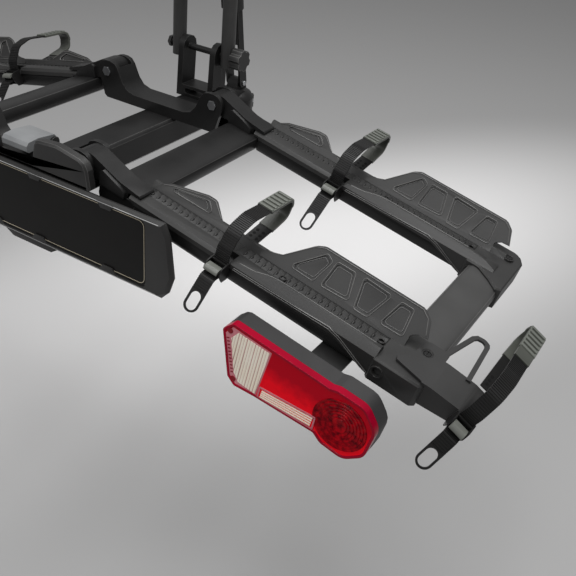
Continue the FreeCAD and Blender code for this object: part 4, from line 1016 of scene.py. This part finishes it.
def make_lamp(side):
    """A wing's rear lamp: lens, window and what shows behind the lens."""
    red, cream = MATERIALS["lens_red"], MATERIALS["lens_clear"]
    for name, maker, slot, replaced, edge, sharp, looks in (
        ("_red_lens", lens_shape, "lens_red", ["_lamp_lens"], LENS_EDGE, SHARP_LENS,
         (red, FIELD_RED_PAINTED_LIGHT)),
        ("_ribbed_window", window_shape, "lens_clear", ["_lamp_window"], 0.0, SHARP_ROUND,
         (cream, GROOVE_PAINTED_SHADE)),
        ("_round_prisms", round_prisms, "lens_red", [], 0.0, SHARP_ROUND, (PRISM_RED,)),
        ("_reflector_bars", reflector_bars, "lens_clear", [], BAR_EDGE, SHARP,
         (REFLECTOR_PINK, cream)),
        ("_window_border", window_border, "lens_clear", [], BAR_EDGE, SHARP,
         (REFLECTOR_PINK, SCREW_RED)),
        ("_lens_screws", lens_screws, "lens_red", [], SMALL_EDGE, SHARP, (SCREW_RED,)),
    ):
        shape = put(maker(), WINGS[side])
        nodes = [side + node for node in replaced]
        make_piece(side + name, shape, side + "_wing", slot, nodes, edge, sharp, looks)


# Number plate with a thin line on it, and painted highlights along the crests of its holder

PLATE_FACE = -0.5855
PLATE_HALF = 0.260
PLATE_LOW = -0.0345
PLATE_HIGH = 0.0755
LINE_INSET = 0.0028
LINE_WIDTH = 0.0008
LINE_CORNER = 0.010
LINE_LEVELS = (PLATE_FACE - 0.0002, PLATE_FACE + 0.0003)
HOLDER_FACE = -0.588
HOLDER_CRESTS = [
    mm([(-284, 76.6), (284, 76.6), (284, 77.4), (-284, 77.4)]),
    mm([(-279, -38.3), (279, -38.3), (279, -37.7), (-279, -37.7)]),
]
CREST_LEVELS = (HOLDER_FACE - 0.0002, HOLDER_FACE + 0.0012)


def make_plate_lines():
    """Thin line round the bare plate, and painted highlights along the edges of its holder."""
    half = PLATE_HALF - LINE_INSET
    low = PLATE_LOW + LINE_INSET
    high = PLATE_HIGH - LINE_INSET
    sides = ((-half, low), (half, low), (half, high), (-half, high))
    outline = flat_frame([side + (LINE_CORNER,) for side in sides], LINE_WIDTH, *LINE_LEVELS)
    make_piece("plate_lines", outline, "platform", "lever_grey", looks=(PALE_GOLD,))
    crests = gathered([slab(corners, *CREST_LEVELS) for corners in HOLDER_CRESTS])
    make_piece("holder_crest_lines", crests, "platform", "cover_plastic", looks=(HOLDER_CREST_HIGHLIGHT,))


# Raised lines and rings of the wheel trays. A guard's own frame lies in its slope

GUARD_SLOPE = 48.6
GUARD_TURN = Matrix.Rotation(math.radians(GUARD_SLOPE - 90), 4, "X")
GUARD_PLACE = Matrix.Translation((0, 0.019, 0.020)) @ GUARD_TURN
GUARD_PANELS = [
    mm([(-15, 1), (23, 1), (32, 34), (21, 40)]),
    mm([(38, 1), (79, 3), (68, 38), (41, 38)]),
    mm([(94, -1), (114, -1), (127, 38), (84, 40)]),
    mm([(135, 1), (168, 2), (163, 37), (145, 37)]),
    mm([(-230, 1), (-226, 6), (-173, 16), (-156, 2)]),
]
GUARD_RIMS = [
    mm([(-52, 2), (-33, 7), (0, 41), (15, 47), (174, 46), (186, 38), (195, 18)]),
    mm([(-246, 2), (-233, 7), (-177, 21), (-162, 21), (-140, 4)]),
]
WALL_LINE = mm([(-70, 9), (30, 11.5), (88, 13), (106, 8), (124, -1), (140, -9), (157, -17)])
CREST_LINE = mm([(-66, -32), (-40, -31), (-18, -25), (12, -23), (150, -23)])

# A panel's two beads, each as the growth of its outline and its width. The other beads
# are given as width and height
PANEL_BEADS = ((0.0026, 0.0017), (-0.0034, 0.0010))
PANEL_BEAD_HEIGHT = 0.0009
PANEL_CORNER = 0.004
PANEL_ARC_SEGMENTS = 4
RIM_BEAD = (0.0018, 0.0009)
WALL_BEAD = (0.0012, 0.0008)
WALL_DROPS = (0.0, 0.0030)
WALL_SLANT = 0.3
CREST_BEAD = (0.0014, 0.0007)
BEAD_STEP = 0.0025
BEAD_TOP_SHARE = 0.55
BEAD_ROOT = 0.0005

# Levels in front of the guard and the wall, and over the crest, from which lines are cast
BEFORE_GUARD = -0.01
BEFORE_WALL = -0.07
OVER_CREST = 0.05
CAST_REACH = 0.06

NUB_START = -0.2477
NUB_PITCH = 0.0107
NUB_COUNT = 37
NUB_PLACE = (-0.001, 0.0108)
NUB_SIZE = Matrix.Diagonal((0.0026, 0.0052, 0.0034, 1))
NUB_SEGMENTS = 10
NUB_RINGS = 6
NUB_OFF_RING = 0.007
NUB_OFF_STRAP = 0.012

# Rings as outer radius, inner radius and height
CHANNEL_RINGS = mm([(-10.3, -3.2), (151, -3)])
CHANNEL_RING_Z = 0.0096
CHANNEL_RING = (0.0054, 0.0036, 0.0042)
BOSS_PLACE = Vector((0.209, 0.022, 0.0155))
BOSS_RING = (0.0088, 0.0070, 0.0012)
PLUG_PLACE = Vector((0.170, -0.0415, -0.004))
PLUG_RING = (0.0092, 0.0074, 0.0012)
TRAY_RING_SEGMENTS = 32


def enlarged(corners, by):
    """Outline whose corners are moved out from its middle and rounded."""
    centre = Vector((sum(c[0] for c in corners), sum(c[1] for c in corners))) / len(corners)
    moved = []
    for corner in corners:
        spot = Vector(corner) + (Vector(corner) - centre).normalized() * by
        moved.append((spot.x, spot.y, PANEL_CORNER))
    return moved


def evenly(points, closed=False):
    """Points at even steps along straight runs between points."""
    ends = points[1:] + points[:1] if closed else points[1:]
    walked = []
    for first, last in zip(points, ends):
        count = max(1, round((last - first).length / BEAD_STEP))
        walked += [first.lerp(last, part / count) for part in range(count)]
    return walked if closed else walked + [points[-1]]


def surface_bead(skin, starts, way, width, height, closed=False):
    """Raised line on a surface, under points that are cast onto it."""
    casts = [skin.ray_cast(start, way, CAST_REACH)[0] for start in starts]
    spots = [hit for hit in casts if hit is not None]
    last = len(spots) - 1
    count = len(spots) if closed else last

    def place(share, side, up):
        index = round(share * count)
        if closed:
            run = spots[(index + 1) % len(spots)] - spots[(index - 1) % len(spots)]
        else:
            run = spots[min(index + 1, last)] - spots[max(index - 1, 0)]
        across = run.cross(way).normalized()
        wide = width * (BEAD_TOP_SHARE if up > 0 else 1.0)
        rise = way * (-height if up > 0 else BEAD_ROOT)
        return spots[index % len(spots)] + across * side * wide + rise

    return swept(count, place, closed)


def flat_ring(outer, inner, height):
    """Ring on the plane Z = 0."""
    bm = bmesh.new()
    for radius in (outer, inner):
        bmesh.ops.create_circle(bm, segments=TRAY_RING_SEGMENTS, radius=radius)
    flat = bmesh.ops.bridge_loops(bm, edges=bm.edges[:])
    return thickened(bm, flat["faces"], (0, 0, height))


def tray_beads(side, offset, skin):
    """All raised lines of one tray, in the part's frame."""
    place = WINGS[side] @ Matrix.Translation((0, offset, 0))
    guard = place @ GUARD_PLACE
    shapes = []

    def turned(matrix, way):
        return (matrix.to_3x3() @ Vector(way)).normalized()

    def upright(points, level, closed=False):
        return [Vector((p.x, level, p.y)) for p in evenly(points, closed)]

    def drawn(starts, matrix, way, size, closed=False):
        spots = [matrix @ start for start in starts]
        shapes.append(surface_bead(skin, spots, way, *size, closed))

    inward = turned(guard, (0, 1, 0))
    for panel in GUARD_PANELS:
        for growth, width in PANEL_BEADS:
            corners = outline_points(enlarged(panel, growth), PANEL_ARC_SEGMENTS)
            starts = upright(corners, BEFORE_GUARD, True)
            drawn(starts, guard, inward, (width, PANEL_BEAD_HEIGHT), True)
    for rim in GUARD_RIMS:
        drawn(upright([Vector(c) for c in rim], BEFORE_GUARD), guard, inward, RIM_BEAD)
    forward = turned(place, (0, 1, 0))
    for drop in WALL_DROPS:
        line = [Vector(c) - Vector((WALL_SLANT * drop, drop)) for c in WALL_LINE]
        drawn(upright(line, BEFORE_WALL), place, forward, WALL_BEAD)
    crest = evenly([Vector(c) for c in CREST_LINE])
    starts = [Vector((p.x, p.y, OVER_CREST)) for p in crest]
    drawn(starts, place, turned(place, (0, 0, -1)), CREST_BEAD)
    return gathered(shapes)


def channel_nubs(offset):
    """Rounded nubs along the channel's cross ribs, in the wing's frame."""
    shapes = []
    for index in range(NUB_COUNT):
        x = NUB_START + index * NUB_PITCH
        by_ring = any(abs(x - ring[0]) < NUB_OFF_RING for ring in CHANNEL_RINGS)
        if by_ring or abs(x - STRAP_X) < NUB_OFF_STRAP:
            continue
        bm = bmesh.new()
        bmesh.ops.create_uvsphere(
            bm, u_segments=NUB_SEGMENTS, v_segments=NUB_RINGS, radius=1.0
        )
        place = Matrix.Translation((x, NUB_PLACE[0] + offset, NUB_PLACE[1]))
        shapes.append(put(bm, place @ NUB_SIZE))
    return gathered(shapes)


def tray_rings(offset):
    """Dark rings round the screws and the plug of one tray, in the wing's frame."""
    along = Matrix.Translation((0, offset, 0))
    shapes = [
        put(flat_ring(*CHANNEL_RING), along @ Matrix.Translation((x, y, CHANNEL_RING_Z)))
        for x, y in CHANNEL_RINGS
    ]
    shapes.append(put(flat_ring(*BOSS_RING), along @ Matrix.Translation(BOSS_PLACE)))
    plug = along @ Matrix.Translation(PLUG_PLACE) @ TO_FRONT
    shapes.append(put(flat_ring(*PLUG_RING), plug))
    return gathered(shapes)


def make_tray_lines(side):
    """Raised lines, nubs and rings of a wing's two trays."""
    wing = WINGS[side]
    body = side + "_wing"
    # Raised lines take the paler colour, painted highlights along their crests
    edge_highlight = (PAINTED_EDGE_HIGHLIGHT["tray_plastic"],)
    for tray, offset in (("_rear_tray", 0.0), ("_front_tray", TRAY_PITCH)):
        name = side + tray
        shown = bmesh.new()
        shown.from_mesh(frame["nodes"][name].data)
        lines = tray_beads(side, offset, BVHTree.FromBMesh(shown))
        shown.free()
        make_piece(name + "_lines", lines, body, "tray_plastic", sharp=SHARP_BEAD, looks=edge_highlight)
        nubs = put(channel_nubs(offset), wing)
        make_piece(name + "_nubs", nubs, body, "tray_plastic", sharp=SHARP_BEAD)
        rings = put(tray_rings(offset), wing)
        make_piece(name + "_rings", rings, body, "black_metal", edge=SMALL_EDGE)


# Studio

def make_floor():
    """Plain pale floor whose colour fades round an oval: a painted pool of light."""
    bm = bmesh.new()
    bmesh.ops.create_grid(bm, x_segments=1, y_segments=1, size=FLOOR_HALF)
    bmesh.ops.translate(bm, verts=bm.verts, vec=(0, 0, FLOOR_Z))
    mesh = bpy.data.meshes.new("studio_floor")
    bm.to_mesh(mesh)
    bm.free()
    floor = add_object("studio_floor", mesh)
    material, tree, shader = plain_material("Studio floor")
    place = add_node(tree, "TexCoord")
    oval = add_node(
        tree, "Mapping",
        {"Location": GLOW_CENTRE, "Rotation": (0, 0, GLOW_TURN), "Scale": GLOW_SIZE},
        vector_type="TEXTURE",
    )
    link(tree, place.outputs["Object"], oval.inputs["Vector"])
    reach = add_node(tree, "VectorMath", operation="LENGTH")
    link(tree, oval.outputs["Vector"], reach.inputs[0])
    glow = ramp(tree, reach.outputs["Value"], GLOW_STOPS, "EASE")
    link(tree, glow, shader.inputs["Base Color"])
    shader.inputs["Roughness"].default_value = FLOOR_ROUGH
    shader.inputs["Specular IOR Level"].default_value = FLOOR_SPECULAR
    mesh.materials.append(material)


def make_lights():
    """Even light of the room and the softboxes."""
    world = bpy.data.worlds.new("Studio")
    world.use_nodes = True
    world.node_tree.nodes["Background"].inputs["Color"].default_value = (1, 1, 1, 1)
    world.node_tree.nodes["Background"].inputs["Strength"].default_value = ROOM_LIGHT
    bpy.context.scene.world = world
    for name, (place, target, size, power) in LIGHTS.items():
        light = bpy.data.lights.new(name, "AREA")
        light.shape = "RECTANGLE"
        light.size, light.size_y = size
        light.energy = power
        lamp = add_object(name, light)
        lamp.location = place
        aim = Vector(target) - Vector(place)
        lamp.rotation_euler = aim.to_track_quat("-Z", "Y").to_euler()


def make_camera():
    """Camera where the photograph was taken."""
    camera = bpy.data.cameras.new("photo_camera")
    camera.sensor_width = SENSOR_WIDTH
    camera.lens = CAMERA_LENS
    camera.clip_end = CAMERA_REACH
    holder = add_object("photo_camera", camera)
    holder.location = CAMERA_PLACE
    holder.rotation_euler = Euler([math.radians(a) for a in CAMERA_TURN])
    bpy.context.scene.camera = holder


REDRAWN = ("wheel_straps", "strap_pads", "lamp_lens", "lamp_window")
for cad_node in sorted(frame["nodes"]):
    if not cad_node.endswith(REDRAWN):
        softened_copy(cad_node)
for wing_side in WINGS:
    make_straps(wing_side)
    make_lamp(wing_side)
    make_tray_lines(wing_side)
make_plate_lines()

make_floor()
make_lights()
make_camera()
bpy.context.scene.view_settings.view_transform = "Standard"
